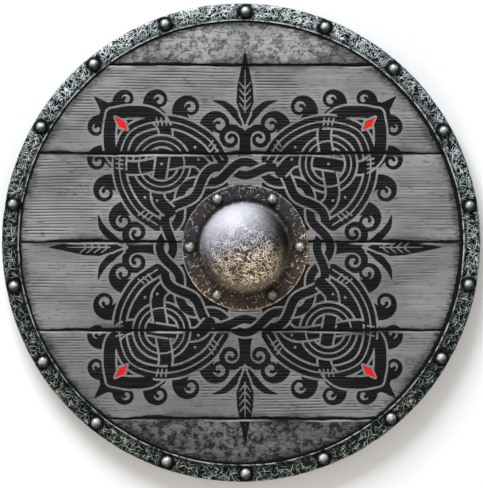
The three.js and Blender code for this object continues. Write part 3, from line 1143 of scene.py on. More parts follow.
def stacked(name: str, rings: Places, sides: int, centre: tuple[float, float] = (0, 0)) -> Piece:
    """Builds a round form from a circle that is extruded and scaled from ring to ring.

    Args:
        name: The object's name.
        rings: Radius and height of each ring, from one end to the other.
        sides: How many points a ring has.
        centre: Where its axis stands.

    Returns:
        The form, with a face at each end.
    """
    deselect()
    radius, height = rings[0]
    bpy.ops.mesh.primitive_circle_add(vertices=sides, radius=radius, fill_type="NGON",
                                      location=(*centre, height))
    piece = named(name)
    with editing(piece):
        bpy.ops.mesh.select_all(action="SELECT")
        for next_radius, next_height in rings[1:]:
            step = (0, 0, next_height - height)
            bpy.ops.mesh.extrude_region_move(TRANSFORM_OT_translate={"value": step})
            ratio = next_radius / radius
            bpy.ops.transform.resize(value=(ratio, ratio, 1), center_override=(*centre, next_height))
            radius, height = next_radius, next_height
        face_outwards()
    return piece


def put_on(piece: Piece, node: str, material: Material, degrees: float = SMOOTH_ANGLE) -> None:
    """Shades a piece smooth, dresses it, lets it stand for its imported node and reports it.

    Args:
        piece: The finished piece.
        node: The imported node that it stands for.
        material: Its finish.
        degrees: The least angle of an edge that stays sharp.
    """
    alone(piece)
    bpy.ops.object.shade_smooth_by_angle(angle=math.radians(degrees))
    piece.data.materials.clear()
    piece.data.materials.append(material)
    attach(piece, BODY)
    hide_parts(node)
    log.info("%s stands for %s with %d faces", piece.name, node, len(piece.data.polygons))


@dataclass
class Slab:
    """A board with one finely divided face and eased edges.

    Attributes:
        name: The object's name.
        low: Lowest corner of its box.
        high: Highest corner of its box.
        side: Which face is the finely divided one.
        rows: Places of the rows of points across it, in Y.
        columns: How many columns of cells it has.
        half_width: Half its width in X at each Y.
        middle_x: Its middle in X.
        easing: Radius of its long edges.
        cuts: How many of the fine face's cells stand beside one cell of the other face.
    """

    name: str
    low: Vector
    high: Vector
    side: Side
    rows: Field
    columns: int
    half_width: Callable[[Field], Field]
    middle_x: float
    easing: float
    cuts: int = 12

    def build(self) -> Piece:
        """Adds the plain face, extrudes it to the other, divides that finely and gives both their outline.

        Returns:
            The board, with square edges.
        """
        face, back = (self.high.z, self.low.z) if self.side is Side.FRONT else (self.low.z, self.high.z)
        across = max(round((len(self.rows) - 1) / self.cuts), 2)
        deselect()
        bpy.ops.mesh.primitive_grid_add(x_subdivisions=max(round(self.columns / self.cuts), 2),
                                        y_subdivisions=across, size=1, location=(0, 0, back))
        piece = named(self.name)
        with editing(piece):
            bpy.ops.mesh.select_all(action="SELECT")
            bpy.ops.mesh.extrude_region_move(TRANSFORM_OT_translate={"value": (0, 0, face - back)})
            bpy.ops.mesh.subdivide(number_cuts=self.cuts - 1)
        points = points_of(piece)
        y = np.interp((points[:, 1] + 0.5) * (len(self.rows) - 1), np.arange(len(self.rows)), self.rows)
        points[:, 0] = self.middle_x + 2 * points[:, 0] * self.half_width(y)
        points[:, 1] = y
        move_points(piece, points)
        with editing(piece):
            bpy.ops.mesh.select_mode(type="FACE")
            mesh = bmesh.from_edit_mesh(piece.data)
            for plain in mesh.faces:
                plain.select_set(abs(plain.calc_center_median().z - back) < HAIR)
            bpy.ops.mesh.inset(thickness=self.easing)
            bpy.ops.mesh.select_all(action="SELECT")
            bpy.ops.mesh.remove_doubles(threshold=2 * HAIR)
            face_outwards()
        return piece

    def eased(self, points: Field, gap: Field, radius: Field | float) -> Field:
        """Rounds both faces down towards the edge.

        Args:
            points: The mesh's points.
            gap: Their distances from the edge.
            radius: The edge's radius.

        Returns:
            The changed points.
        """
        short = np.clip(radius - gap, 0, radius)
        drop = radius - np.sqrt(np.maximum(radius**2 - short**2, 0))
        middle = (self.low.z + self.high.z) / 2
        points[:, 2] -= np.sign(points[:, 2] - middle) * drop
        return points


def spaced_rows(low: float, high: float, step: float, first: float) -> Field:
    """Spaces rows evenly, but closer near both ends.

    Args:
        low: The first row.
        high: The last row.
        step: The usual spacing.
        first: The spacing at the ends, which grows until it is the usual one.

    Returns:
        The rows' places.
    """
    growth = 1.3
    near = [0.0]
    gap = first
    while gap < step:
        near.append(near[-1] + gap)
        gap *= growth
    inner = high - low - 2 * near[-1]
    count = max(round(inner / step), 1)
    middle = np.linspace(low + near[-1], high - near[-1], count + 1)
    return np.concatenate([low + np.array(near[:-1]), middle, high - np.array(near[:-1])[::-1]])


@dataclass
class Planks:
    """The six planks of the board, with their combed grain and the painted ornament.

    Attributes:
        cell_x: Spacing of the points along a plank's face.
        cell_y: Spacing of the points across it.
        easing: Usual radius of a plank's long edges.
        comb_pitch: Distance between the combed lines, in millimetres.
        comb_depth: Their depth.
        hole_radius: Radius of the hand hole.
        rim_width: Width of the rim's flange, which covers the planks' ends.
        end_margin: How far the end planks' far edges stop short of the round, under the rim.
        tones: How light each plank is, from the top of the face down, darker towards the bottom.
        finish: Their material.
    """

    cell_x: float = 1.15 * MM
    cell_y: float = 0.85 * MM
    easing: float = 2.2 * MM
    comb_pitch: float = 3.75
    comb_depth: float = 0.30 * MM
    hole_radius: float = 52.2 * MM
    rim_width: float = 22.2 * MM
    end_margin: float = 3.2 * MM
    tones: Sequence[float] = (1.00, 0.77, 0.77, 0.70, 0.65, 0.395)
    finish: PlankFinish = field(default_factory=PlankFinish)

    def __post_init__(self) -> None:
        """Reads the board's radius and the boss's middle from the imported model."""
        self.boss_middle = middle_of("boss")
        self.radius = (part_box("plank_3")[1].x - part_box("plank_3")[0].x) / 2
        self.rim_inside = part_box("rim")[1].x - self.rim_width

    def combed(self, x: Field, y: Field, seed: int) -> tuple[Field, Field]:
        """Draws the lines that a comb left along a plank.

        Args:
            x: Places along the plank, in millimetres.
            y: Places across it.
            seed: The plank's own.

        Returns:
            The places counted in lines, and how deep the nearest line is at each, from 0 to 1.
        """
        drift = 0.55 * lattice_noise(x / 190, y / 30, seed) + 0.10 * lattice_noise(x / 32, y / 8, seed + 1)
        phase = y / self.comb_pitch + drift
        strength = ramp(lattice_noise(x / 42, np.round(phase) * 0.73, seed + 2), -1.0, 0.25)
        broad = lattice_noise(x / 95, y / 30, seed + 3) + 0.3 * lattice_noise(x / 22, y / 8, seed + 4)
        return phase, (0.2 + 0.8 * strength) * (0.15 + 0.85 * ramp(broad, -0.7, 0.1))

    def shape(self, piece: Piece, slab: Slab, number: int) -> None:
        """Gives a plank its eased, uneven edges and its relief, and stores what its finish reads, painted
        shade and highlights among it.

        Args:
            piece: The plank.
            slab: The board that it was built from.
            number: The plank's place, counted from the top of the face.
        """
        seed = 11 * (number + 1)
        grain = Grain.PITTED if number in (0, len(self.tones) - 1) else Grain.COMBED
        points = points_of(piece)
        x, y = points[:, 0] / MM, points[:, 1] / MM
        low, high = slab.rows[0] / MM, slab.rows[-1] / MM
        gap = np.minimum(y - low, high - y)
        front = points[:, 2] > (slab.low.z + slab.high.z) / 2
        lower = y - low < high - y
        wander = lattice_noise(x / 28, np.where(lower, 0.5, 3.5), seed + 7)
        wander = wander + 0.5 * lattice_noise(x / 7, np.where(lower, 1.5, 5.5), seed + 8)
        radius = np.where(front, self.easing * (1.0 + 0.45 * wander), slab.easing)
        rim_gap = (self.rim_inside - from_axis(points)) / MM
        ends = ramp(rim_gap, 1, 14) * ramp(gap + 3 * wander, 2, 11)
        phase, comb = self.combed(x, y, seed)
        comb = comb * ends * front * (grain is Grain.COMBED)
        groove = comb * (0.5 + 0.5 * np.cos(FULL_TURN * phase)) ** 1.6
        swell = 0.10 * lattice_noise(x / 70, y / 24, seed + 5)
        swell = swell + 0.03 * lattice_noise(x / 18, y / 3.5, seed + 6)
        pits = ramp(lattice_noise(x / 3.4, y / 3.0, seed + 9), 0.35, 0.85) * (grain is Grain.PITTED)
        relief = swell * MM - groove * self.comb_depth - 0.16 * MM * pits
        points = slab.eased(points, gap * MM, radius)
        points[:, 2] += np.where(front, relief, 0)
        for seam, away in ((number, high - y), (number + 1, y - low)):
            if 0 < seam < len(self.tones):
                row = y * 0 + 3 * seam + 0.5
                shift = 1.0 * lattice_noise(x / 24, row, 101) + 0.4 * lattice_noise(x / 8, row, 102)
                points[:, 1] += shift * ramp(-away, -9, 0) * MM
        move_points(piece, points)
        # A strip below each plank's upper edge where the paint is rubbed off and the wood carries a painted
        # highlight.
        below = high - y + 0.7 * wander
        worn = ramp(below, 0.9, 1.6) * ramp(-below, -4.2, -2.6)
        worn = worn * ramp(lattice_noise(x / 30, y * 0 + 2.5, seed + 10), -0.3, 0.4)
        # Painted shadow: the dark seam widens along each plank's lower edge, away from the key lamp.
        seam_shadow = 2.4 * ramp(lattice_noise(x / 26, y * 0 + 7.5, seed + 12), -0.7, 0.7)
        seam_shadow = seam_shadow + 0.6 * lattice_noise(x / 5, y * 0 + 3.5, seed + 13)
        edge = np.minimum(y - low - seam_shadow, high - y - 0.3) + 0.4 * wander
        centred = np.stack([x - self.boss_middle.x / MM, y - self.boss_middle.y / MM], 1)
        ink = np.full(len(x), FAR_FROM_PAINT)
        blush = np.full(len(x), FAR_FROM_PAINT)
        ink[front], blush[front] = Ornament().draw(centred[front])
        # The painted shadow beside the rim is widened a little, most on the right.
        store(piece, ink=ink, blush=blush, phase=phase, comb=comb * (1 - 0.4 * ramp(x, 90, 220)), edge=edge,
              rim_gap=rim_gap - 2.0 * ramp(x, 120, 270) - 0.5, worn=np.where(front, worn, 0),
              pitted=grain.value * (1.0 if number else 0.3), board=0.37 * (seed % 7), tone=self.tones[number])

    def build(self) -> None:
        """Builds and dresses the planks, from the top of the face to the bottom."""
        material = self.finish.make()
        names = node_names("plank_")
        for number, node in enumerate(names):
            low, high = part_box(node)
            top = high.y - self.end_margin if number == 0 else high.y
            bottom = low.y + self.end_margin if number == len(names) - 1 else low.y
            rows = spaced_rows(bottom, top, self.cell_y, 0.3 * MM)
            slab = Slab(node + "_board", low, high, Side.FRONT, rows, int((high.x - low.x) / self.cell_x),
                        lambda y: np.sqrt(np.maximum(self.radius**2 - y**2, 0)), 0.0, 1.2 * MM)
            piece = slab.build()
            if abs(self.boss_middle.y - (low.y + high.y) / 2) < (high.y - low.y) / 2 + self.hole_radius:
                cut_away(piece, [round_cutter(self.boss_middle, self.hole_radius, low.z - CUTTER_MARGIN,
                                              high.z + CUTTER_MARGIN, 96)])
            self.shape(piece, slab, number)
            put_on(piece, node, material)


@dataclass
class Rim:
    """The strip of sheet steel folded round the planks' ends.

    Attributes:
        width: Width of its flanges.
        sheet: Thickness of the sheet.
        bend: Outer radius of its two folds.
        joint_angle: Where its ends meet, in degrees.
        joint_gap: The gap between them.
        steps: How many steps it takes round the board.
        bend_steps: How many steps a fold takes.
        cuts: How often each flat part of its section is divided.
        finish: Its material.
    """

    width: float = 22.2 * MM
    sheet: float = 1.5 * MM
    bend: float = 3 * MM
    joint_angle: float = -86.4
    joint_gap: float = 0.8 * MM
    steps: int = 540
    bend_steps: int = 4
    cuts: int = 9
    finish: SteelFinish = RIM_STEEL

    def build(self, rivets: Places) -> None:
        """Builds and dresses the rim.

        Args:
            rivets: The middles of its rivets.
        """
        low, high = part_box("rim")
        radius = high.x
        deselect()
        middle = (low.z + high.z) / 2
        bpy.ops.mesh.primitive_plane_add(size=1, location=(radius - self.width / 2, 0, middle),
                                         rotation=(math.pi / 2, 0, 0))
        piece = bpy.context.active_object
        piece.scale = (self.width, high.z - low.z, 1)
        piece = named("rim_band")
        with editing(piece):
            mesh = bmesh.from_edit_mesh(piece.data)
            for vertex in mesh.verts:
                vertex.select_set(vertex.co.x > radius - self.width / 2)
            mesh.select_flush_mode()
            bpy.ops.mesh.bevel(offset=self.bend, segments=self.bend_steps, affect="VERTICES")
            bpy.ops.mesh.select_all(action="SELECT")
            bpy.ops.mesh.delete(type="ONLY_FACE")
            mesh = bmesh.from_edit_mesh(piece.data)
            inner = radius - self.width + 0.1 * MM
            for edge in [e for e in mesh.edges if all(v.co.x < inner for v in e.verts)]:
                mesh.edges.remove(edge)
            for edge in mesh.edges:
                flat = abs(edge.verts[0].co.z - edge.verts[1].co.z) < HAIR
                edge.select_set(flat and edge.calc_length() > self.bend)
            bpy.ops.mesh.subdivide(number_cuts=self.cuts)
            start = math.radians(self.joint_angle) + self.joint_gap / (2 * radius)
            bpy.ops.mesh.select_all(action="SELECT")
            bpy.ops.mesh.spin(steps=self.steps, angle=FULL_TURN - self.joint_gap / radius,
                              center=(0, 0, 0), axis=(0, 0, 1))
            bpy.ops.mesh.select_all(action="SELECT")
            bpy.ops.mesh.remove_doubles(threshold=HAIR)
            bpy.ops.mesh.normals_make_consistent(inside=False)
        points = points_of(piece)
        angle = np.arctan2(points[:, 1], points[:, 0]) % FULL_TURN
        turn = start - (0.0 if angle.min() < 0.01 else angle.min())
        points[:, :2] = turned(points[:, :2], turn)
        arc = np.arctan2(points[:, 1], points[:, 0]) * radius
        fold = np.sign(points[:, 2] - middle) * (radius - from_axis(points))
        store_sheet(piece, arc, fold + points[:, 2])
        move_points(piece, self.worked(points, radius))
        thicken(piece, self.sheet)
        self.wear(piece, radius, rivets)
        put_on(piece, "rim", self.finish.make())

    def worked(self, points: Field, radius: float) -> Field:
        """Gives the folded strip the unevenness of hand work.

        Args:
            points: The mesh's points.
            radius: The rim's outer radius.

        Returns:
            The changed points.
        """
        away = from_axis(points)
        arc = np.arctan2(points[:, 1], points[:, 0]) * radius / MM
        height = points[:, 2] / MM
        middle = (height.min() + height.max()) / 2
        share = (radius - away) / self.width
        push = 0.35 * (lattice_noise(arc / 19, height * 0 + 0.5, 31) - 1)
        push = push + 0.25 * (lattice_noise(arc / 5, height / 6, 32) - 1) * (share < 0.3)
        inner = 0.4 * lattice_noise(arc / 26, height / 30, 33)
        rise = 0.10 * (lattice_noise(arc / 9, away / MM / 7, 34) - 0.6)
        push_out(points, (push * (1 - share) + inner * share) * MM)
        points[:, 2] += np.where(share > 0.2, rise * MM * np.sign(height - middle), 0)
        return points

    def wear(self, piece: Piece, radius: float, rivets: Places) -> None:
        """Stores where soiling and painted shade darken the rim, where its edges are polished and carry
        painted highlights, its painted warm light and how calm its scratches are.

        Args:
            piece: The rim.
            radius: Its outer radius.
            rivets: The middles of its rivets.
        """
        points = points_of(piece)
        x, y = points[:, 0], points[:, 1]
        away = from_axis(points)
        arc = np.arctan2(y, x) * radius / MM
        ragged = 1.8 * dented(points, 3, 41)
        # A darker ring round each rivet.
        grime = ramp(-from_nearest(points, rivets) / MM - ragged, -12.2, -8.6) * 0.97
        inner = (away - (radius - self.width)) / MM
        # Polished inner and outer edges, partly painted highlights, fainter down the outer flank.
        polish = ramp(-inner - 0.4 * lattice_noise(arc / 14, inner * 0, 42), -1.15, -0.45)
        polish = polish * (0.05 + 0.75 * ramp(lattice_noise(arc / 5, inner * 0, 44), -0.3, 0.4))
        outer = (radius - away) / MM
        below = (points[:, 2].max() - points[:, 2]) / MM
        rubbed = ramp(-outer + 0.9 * lattice_noise(arc / 3.5, below / 2.5, 43), -1.6, 0.2)
        polish = polish + 0.4 * rubbed * (1 - 0.75 * ramp(below, 1.5, 4.0))
        # Painted warm light on the lower right, away from the key lamp.
        warmth = ramp(-(y + 0.35 * x) / radius, -0.45, 0.5)
        # Painted shade: darker near the inner and outer edges, as if the rim were rounded, and on the lower
        # right.
        band = 0.5 * ramp(outer, 15.5, 19.5) * ramp(-outer, -21.6, -20.6)
        band = band + 0.2 * ramp(-outer, -4, -1.5) + 0.14 * warmth
        # Painted light and shade: fewer bright scratches on the lower right and the right, more at the top.
        calm = 0.35 * warmth + 0.15 * ramp(x / radius, 0.1, 0.9) - 0.2 * ramp(y / radius, 0.6, 0.95)
        store(piece, grime=np.clip(grime + band * (1 - grime), 0, 1),
              polish=np.clip(polish, 0, 1) * (1 - grime), warmth=warmth, calm=calm)


@dataclass
class Rivets:
    """A set of rivets: a domed head, a shank, and a button clenched behind.

    Attributes:
        prefix: The start of their nodes' names.
        shank: Radius of the shank.
        tail: Radius of the button.
        tail_height: The button's height.
        seat: How high the head's foot stands over the button's top.
        sides: How many sides they have.
        finish: Their material.
    """

    prefix: str
    seat: float
    shank: float = 3 * MM
    tail: float = 5.5 * MM
    tail_height: float = 2.5 * MM
    sides: int = 28
    finish: SteelFinish = RIVET_STEEL

    def places(self) -> list[tuple[float, float]]:
        """Gives the rivets' middles."""
        return [tuple(middle_of(node).xy) for node in node_names(self.prefix)]

    def pattern(self) -> Piece:
        """Models one rivet on the Z axis, at its height.

        Returns:
            The rivet.
        """
        low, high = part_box(node_names(self.prefix)[0])
        head = (high.x - low.x) / 2
        foot = low.z + self.tail_height + self.seat
        rise = high.z - foot
        lip = 0.5 * MM
        button = [(self.tail * math.cos(a), low.z + 1.2 * MM - 1.2 * MM * math.sin(a))
                  for a in np.radians([80, 50, 20])]
        dome = [(head * math.cos(a), foot + lip + (rise - lip) * math.sin(a))
                for a in np.radians([0, 12, 26, 40, 54, 67, 79, 88])]
        rings = [*button, (self.tail, low.z + self.tail_height), (self.shank, low.z + self.tail_height),
                 (self.shank, foot), (head * 0.97, foot), *dome]
        return stacked(self.prefix + "pattern", rings, self.sides)

    def build(self) -> None:
        """Copies the rivet to each place, each copy a little different, and dresses it."""
        material = self.finish.make()
        pattern = self.pattern()
        base = points_of(pattern)
        top = base[:, 2].max()
        for number, (node, (x, y)) in enumerate(zip(node_names(self.prefix), self.places())):
            piece = copy_of(pattern, node + "_forged")
            points = base.copy()
            dent = lattice_noise(points[:, 0] / MM / 4.5 + 9 * number, points[:, 1] / MM / 4.5, 51)
            points[:, 2] -= np.where(points[:, 2] > top - 4 * MM, 0.18 * MM * (dent + 1), 0)
            away = from_axis(points)
            squash = 1 - 0.02 * (1 + lattice_noise(away * 0 + number * 1.7, points[:, 1] / MM / 6, 52))
            points[:, 0] *= squash
            move_points(piece, points + (x, y, 0))
            height = (points[:, 2] - points[:, 2].max()) / MM
            # Painted shade: each head darkens towards its edge and on its lower right, away from the key
            # lamp; heads lower on the shield keep more of their middle unshaded.
            bared = 0.48 + 0.17 * float(ramp(np.array(-y / MM), 0, 240))
            foot = ramp(away / away.max(), bared, bared + 0.35)
            lower = ramp((0.4 * points[:, 0] - points[:, 1]) / away.max(), -0.3, 0.6)
            # Painted highlight: a small bright patch up and to the left of each head's middle, and the head's
            # top brighter.
            glint = np.exp(-((points[:, 0] / MM + 1.1) ** 2 + (points[:, 1] / MM - 1.7) ** 2) / 4.5)
            on_boss = "boss" in node
            shade_strength, highlight_strength = (0.4, 0.12) if on_boss else (0.96, 0.36)
            # The boss rivets lower on the shield get more of the painted warm light.
            store(piece, grime=np.clip(shade_strength * (foot + lower), 0, 0.96), calm=0.0,
                  polish=highlight_strength * ramp(height, -4.5, 0) + 0.45 * glint,
                  warmth=0.8 * ramp(-y / MM, -40, 60) if on_boss else 0.0)
            store_sheet(piece, points[:, 0] + 0.031 * number, points[:, 1] + points[:, 2])
            put_on(piece, node, material, 45)
        bpy.data.objects.remove(pattern)


@dataclass
class Boss:
    """The boss: a flange and a dome raised from one sheet.

    Attributes:
        sheet: Thickness of the sheet.
        dome: Outer radius of the dome.
        fillet: Radius of the bend between dome and flange.
        sides: How many sides it has.
        flange_top: The share of its height that the flange stays under.
        finish: Its material.
    """

    sheet: float = 1.8 * MM
    dome: float = 54 * MM
    fillet: float = 6 * MM
    sides: int = 144
    flange_top: float = 0.12
    finish: SteelFinish = BOSS_STEEL

    def rings(self, low: Vector, high: Vector) -> list[tuple[float, float]]:
        """Lays out the outer surface, from the flange's edge to the dome's top.

        Args:
            low: Lowest corner of the boss's box.
            high: Highest corner of its box.

        Returns:
            Radius and height of each ring.
        """
        radius = (high.x - low.x) / 2
        flat = low.z + self.sheet
        spring = flat + self.fillet
        bend_x = self.dome + self.fillet
        flange = [(r, flat) for r in np.linspace(radius, bend_x, 12)]
        bend = [(bend_x - self.fillet * math.sin(a), spring - self.fillet * math.cos(a))
                for a in np.radians([18, 36, 54, 72])]
        rise = high.z - spring
        dome = [(self.dome * math.cos(a), spring + rise * math.sin(a))
                for a in np.radians(np.linspace(0, 88.5, 30))]
        return [*flange, *bend, *dome]

    def build(self, rivets: Places) -> None:
        """Builds and dresses the boss.

        Args:
            rivets: The middles of its rivets.
        """
        low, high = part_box("boss")
        x, y, _ = middle_of("boss")
        piece = stacked("boss_shell", self.rings(low, high), self.sides, (x, y))
        with editing(piece):
            bpy.ops.mesh.select_mode(type="FACE")
            mesh = bmesh.from_edit_mesh(piece.data)
            max(mesh.faces, key=lambda f: f.calc_area()).select_set(True)
            bpy.ops.mesh.delete(type="ONLY_FACE")
            mesh = bmesh.from_edit_mesh(piece.data)
            if max(mesh.faces, key=lambda f: f.calc_center_median().z).normal.z < 0:
                bpy.ops.mesh.select_all(action="SELECT")
                bpy.ops.mesh.flip_normals()
        points = points_of(piece)
        away = from_axis(points, x, y)
        rise = (points[:, 2] - low.z) / (high.z - low.z)
        flat = rise < self.flange_top
        dent = dented(points, 13, 61) + 0.5 * dented(points, 6, 62)
        inward = np.where(rise > self.flange_top, 0.35, 0.0) * MM * (dent - 1.5)
        push_out(points, inward * (1 - rise), x, y)
        points[:, 2] += inward * rise
        points[:, 2] += np.where(flat, 0.10 * MM * dent, 0)
        wave = dented(points, 11, 63) - 1
        push_out(points, 0.22 * ramp(away / MM, 72, 80) * flat * wave * MM, x, y)
        rings = np.array(self.rings(low, high))
        run = np.concatenate([[0], np.cumsum(np.hypot(*np.diff(rings[::-1], axis=0).T))])
        unrolled = np.interp(away, rings[::-1, 0], run) / np.maximum(away, 0.1 * MM)
        store_sheet(piece, (points[:, 0] - x) * unrolled, (points[:, 1] - y) * unrolled)
        move_points(piece, points)
        thicken(piece, self.sheet)
        self.wear(piece, (x, y), low, high, rivets)
        put_on(piece, "boss", self.finish.make())

    def wear(self, piece: Piece, centre: tuple[float, float], low: Vector, high: Vector,
             rivets: Places) -> None:
        """Stores where soiling and painted shade darken the metal, where it is polished or carries painted
        light, how calm its scratches are and its painted warm light.

        Args:
            piece: The boss.
            centre: Its middle.
            low: Lowest corner of its box.
            high: Highest corner of its box.
            rivets: The middles of its rivets.
        """
        points = points_of(piece)
        away = from_axis(points, *centre) / MM
        near = from_nearest(points, rivets) / MM
        ragged = dented(points, 3.5, 71)
        rise = (points[:, 2] - low.z) / (high.z - low.z)
        east, north = (points[:, 0] - centre[0]) / self.dome, (points[:, 1] - centre[1]) / self.dome
        # The direction towards the key lamp, to the upper left.
        upper = (0.94 * north - 0.34 * east) * self.dome / (self.dome + self.fillet)
        # Painted shade in the groove round the dome's foot.
        foot = ramp(-np.abs(away - 60.5) - 1.2 * ragged, -4.0, -1.0) * (0.4 + 0.6 * ramp(upper, -0.9, 0.3))
        # A darker ring round each rivet.
        around = 0.6 * ramp(-near - 1.5 * ragged, -10.5, -7)
        dome = ramp(-away, -59.0, -52.5)
        edge = ramp(away + 0.5 * ragged, 79.0, 80.2) * (rise < self.flange_top)
        edge = edge * (0.3 + 0.7 * ramp(ragged, -0.5, 0.3))
        # Painted highlight on the dome's upper left, facing the key lamp, brightest at one place.
        highlight_spot = np.exp(-((east + 0.29) ** 2 + (north - 0.74) ** 2) / 0.14)
        painted_light = 0.02 + 0.93 * ramp(upper + 0.05 * ragged, -0.12, 0.8) * (0.76 + 0.24 * highlight_spot)
        sunk = ramp(-upper, -0.1, 0.6)
        struck = ramp(-away, -59.0 + 6.0 * sunk, -52.5 + 10.0 * sunk)
        # Painted light: a little brighter near the foot, on the side away from the key lamp.
        painted_light = painted_light + 0.08 * sunk * ramp(away, 38.0, 50.0)
        calm = 1.02 - 0.22 * ramp(away, 70.0, 77.0) - struck * (1.02 - 0.3 * ramp(upper, 0.1, 0.6))
        # Painted shade on the dome's right side and, less, on its far left.
        shaded = 0.95 * ramp(0.85 * east + 0.35 * north, 0.36, 0.94)
        shaded = shaded + 0.5 * ramp(-0.9 * east - 0.4 * north, 0.6, 1.1)
        low_grime = np.where(rise < 0.35, np.clip(around + 0.7 * foot, 0, 1), 0)
        # The side away from the key lamp gets a painted warm light.
        store(piece, grime=np.maximum(low_grime, shaded * dome), calm=calm,
              polish=np.clip(painted_light * dome + 0.45 * edge + 0.03, 0, 1), warmth=ramp(-upper, -0.25, 0.45))


@dataclass
class Battens:
    """The grip batten and the two side battens behind the planks.

    Attributes:
        easing: Radius of their edges.
        cell: Spacing of the points on their faces.
        grip: Half width where the hand holds.
        grip_length: Length of that part.
        shoulder_length: How far apart the shoulders stand beyond it.
        shoulder: Half width of the grip batten's shoulders.
        end: Half width of its ends.
        nail_radius: Radius of the sunk holes for the nails' heads.
        nail_depth: Their depth.
        finish: Their material.
    """

    easing: float = 3 * MM
    cell: float = 1.6 * MM
    grip: float = 14 * MM
    grip_length: float = 46 * MM
    shoulder_length: float = 110 * MM
    shoulder: float = 20 * MM
    end: float = 13 * MM
    nail_radius: float = 4.9 * MM
    nail_depth: float = 2.2 * MM
    finish: BattenFinish = field(default_factory=BattenFinish)

    def grip_profile(self, high: Vector) -> tuple[Field, Field]:
        """Gives the grip batten's half width up its length, between its rounded ends.

        Args:
            high: Highest corner of its box.

        Returns:
            Places up its length, and its half width at each.
        """
        boss = middle_of("boss").y
        end_start = high.y - self.end
        taper = (end_start + self.shoulder_length) / 2
        far = self.shoulder_length / 2 + self.grip_length / 2
        stations = [
            (-end_start, self.end),
            (-taper, self.shoulder),
            (boss - far, self.shoulder),
            (boss - self.grip_length / 2, self.grip),
            (boss + self.grip_length / 2, self.grip),
            (boss + far, self.shoulder),
            (taper, self.shoulder),
            (end_start, self.end),
        ]
        path = smooth_path(stations, 12)
        return path[:, 0], path[:, 1]

    def build_one(self, node: str, material: Material, seed: int) -> None:
        """Builds and dresses one batten.

        Args:
            node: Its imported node.
            material: Its finish.
            seed: Its own.
        """
        low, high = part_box(node)
        middle = (low.x + high.x) / 2
        is_grip = node.startswith("grip")
        if is_grip:
            places, halves = self.grip_profile(high)
        else:
            halves = np.full(2, (high.x - low.x) / 2)
            places = np.array([low.y + halves[0], high.y - halves[0]])
        end = halves[0]

        def half_width(y: Field) -> Field:
            """Half the batten's width, with its rounded ends."""
            past = np.clip(np.maximum(places[0] - y, y - places[-1]), 0, end)
            return np.where(past > 0, np.sqrt(np.maximum(end**2 - past**2, 0)), np.interp(y, places, halves))

        rows = spaced_rows(low.y, high.y, self.cell, 0.25 * MM)
        slab = Slab(node + "_plane", low, high, Side.BACK, rows, int((high.x - low.x) / self.cell) + 8,
                    half_width, middle, self.easing)
        piece = slab.build()
        cut_away(piece, [round_cutter(middle_of(nail), self.nail_radius, low.z - CUTTER_MARGIN,
                                      low.z + self.nail_depth, 24) for nail in node_names(node + "_nail_")])
        points = points_of(piece)
        x, y = points[:, 0] - middle, points[:, 1]
        past = np.maximum(np.maximum(places[0] - y, y - places[-1]), 0)
        gap = np.where(past > 0, end - np.hypot(x, past), np.interp(y, places, halves) - np.abs(x))
        points = slab.eased(points, np.maximum(gap, 0), self.easing)
        under = points[:, 2] < (low.z + high.z) / 2
        grain = 0.12 * (lattice_noise(x / MM / 2.6, y / MM / 60, seed) - 1)
        grain = grain + 0.1 * (lattice_noise(x / MM / 9, y / MM / 26, seed + 1) - 1)
        points[:, 2] -= np.where(under & (gap > 0.4 * MM), grain * MM, 0)
        move_points(piece, points)
        store(piece, held=ramp(-np.abs(y - middle_of("boss").y) / MM, -62, -30) if is_grip else 0.0)
        put_on(piece, node, material)

    def build(self) -> None:
        """Builds and dresses the battens."""
        material = self.finish.make()
        for number, node in enumerate(("grip_batten", "left_batten", "right_batten")):
            self.build_one(node, material, 81 + 5 * number)


@dataclass
class Nails:
    """The nails that hold the battens, with flat forged heads.

    Attributes:
        shank: Radius of the shank.
        head_height: Height of the head.
        sides: How many sides they have.
        finish: Their material.
    """

    shank: float = 1.8 * MM
    head_height: float = 1.6 * MM
    sides: int = 14
    finish: SteelFinish = NAIL_IRON

    def build(self) -> None:
        """Models one nail, copies it to each place and dresses it."""
        material = self.finish.make()
        nodes = [node for node in node_names("") if "_nail_" in node]
        low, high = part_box(nodes[0])
        head = (high.y - low.y) / 2
        neck = low.z + self.head_height
        rings = [(head * 0.3, low.z), (head * 0.72, low.z + 0.12 * MM), (head * 0.94, low.z + 0.45 * MM),
                 (head, low.z + 0.9 * MM), (head, neck), (self.shank, neck), (self.shank, high.z - 3 * MM),
                 (self.shank * 0.3, high.z)]
        pattern = stacked("nail_pattern", rings, self.sides)
        base = points_of(pattern)
        away, angle = from_axis(base), np.arctan2(base[:, 1], base[:, 0])
        for number, node in enumerate(nodes):
            piece = copy_of(pattern, node + "_forged")
            uneven = 1 - 0.03 * (1 + lattice_noise(angle * 1.6 + number * 2.3, away * 0, 91))
            points = base * np.stack([uneven, uneven, np.ones(len(base))], 1)
            move_points(piece, points + (*middle_of(node).xy, 0))
            store(piece, grime=0.5 * ramp(away / MM, 3.6, 4.4), polish=0.25 * ramp(-away / MM, -3, -1),
                  warmth=0.5 + 0.5 * lattice_noise(away / MM / 3 + number, angle, 93), calm=0.3)
            store_sheet(piece, points[:, 0] + 0.023 * number, points[:, 1] + points[:, 2])
            put_on(piece, node, material)
        bpy.data.objects.remove(pattern)


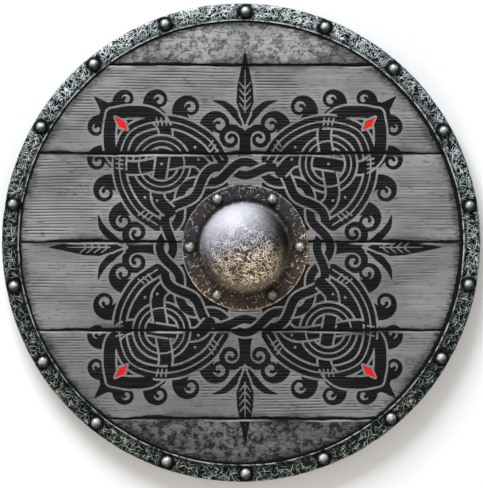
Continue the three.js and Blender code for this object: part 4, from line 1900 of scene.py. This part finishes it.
@dataclass
class Studio:
    """The floor, the lights and the camera.

    Attributes:
        image_width: Width of the picture, in pixels; not used.
        image_height: Its height; not used.
        span: What the picture's width shows at the rim's height.
        distance: The camera's height over the rim.
        aim: The point under the camera.
    """

    image_width: int = 483
    image_height: int = 488
    span: float = 614 * MM
    distance: float = 2.6
    aim: tuple[float, float] = (0.5 * MM, -1.8 * MM)

    def floor(self) -> None:
        """Lays the floor."""
        deselect()
        bpy.ops.mesh.primitive_plane_add(size=8, location=(0, 0, 0))
        piece = named("floor")
        g = Graph("floor")
        cloud = g.grain(g.place(), (3, 3, 3), 3)
        colour = g.mix(cloud, grey(0.86), grey(0.90))
        links = {"Base Color": colour, "Roughness": 0.9, "Specular IOR Level": 0.1}
        piece.data.materials.append(g.finish(links))

    def lamp(self, name: str, place: tuple[float, float, float], size: float, power: float,
             colour: tuple[float, float, float]) -> None:
        """Hangs a square soft light that faces the shield.

        Args:
            name: Its name.
            place: Where it hangs.
            size: Length of its sides.
            power: Its power, in watts.
            colour: Its colour.
        """
        light = bpy.data.lights.new(name, "AREA")
        light.shape, light.size, light.energy, light.color = "SQUARE", size, power, colour
        holder = bpy.data.objects.new(name, light)
        holder.location = place
        holder.rotation_euler = (-Vector(place)).to_track_quat("-Z", "Y").to_euler()
        bpy.context.scene.collection.objects.link(holder)

    def camera(self) -> None:
        """Sets the camera straight above the shield."""
        data = bpy.data.cameras.new("camera")
        data.sensor_fit = "HORIZONTAL"
        data.lens = data.sensor_width * self.distance / self.span
        data.clip_end = 50
        holder = bpy.data.objects.new("camera", data)
        holder.location = (*self.aim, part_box("rim")[1].z + self.distance)
        bpy.context.scene.collection.objects.link(holder)
        bpy.context.scene.camera = holder

    def build(self) -> None:
        """Sets up the whole studio."""
        self.camera()
        self.floor()
        self.lamp("key", (-1.0, 2.8, 1.9), 1.8, 170, (0.97, 0.98, 1.0))
        self.lamp("fill", (0.3, -2.6, 1.1), 1.2, 42, (1.0, 0.9, 0.78))
        scene = bpy.context.scene
        world = bpy.data.worlds.new("studio")
        scene.world = world
        world.use_nodes = True
        sky = world.node_tree.nodes["Background"]
        sky.inputs["Color"].default_value = (0.95, 0.97, 1.0, 1.0)
        sky.inputs["Strength"].default_value = 0.44
        scene.view_settings.view_transform = "Standard"


def main() -> None:
    """Builds the studio and every piece of the shield, in order."""
    logging.basicConfig(level=logging.INFO, format="%(name)s: %(message)s")
    Studio().build()
    rim_rivets = Rivets("rim_rivet_", seat=16.2 * MM)
    boss_rivets = Rivets("boss_rivet_", seat=14.7 * MM)
    Planks().build()
    Rim().build(rim_rivets.places())
    rim_rivets.build()
    Boss().build(boss_rivets.places())
    boss_rivets.build()
    Battens().build()
    Nails().build()
    deselect()


if __name__ == "__main__":
    main()
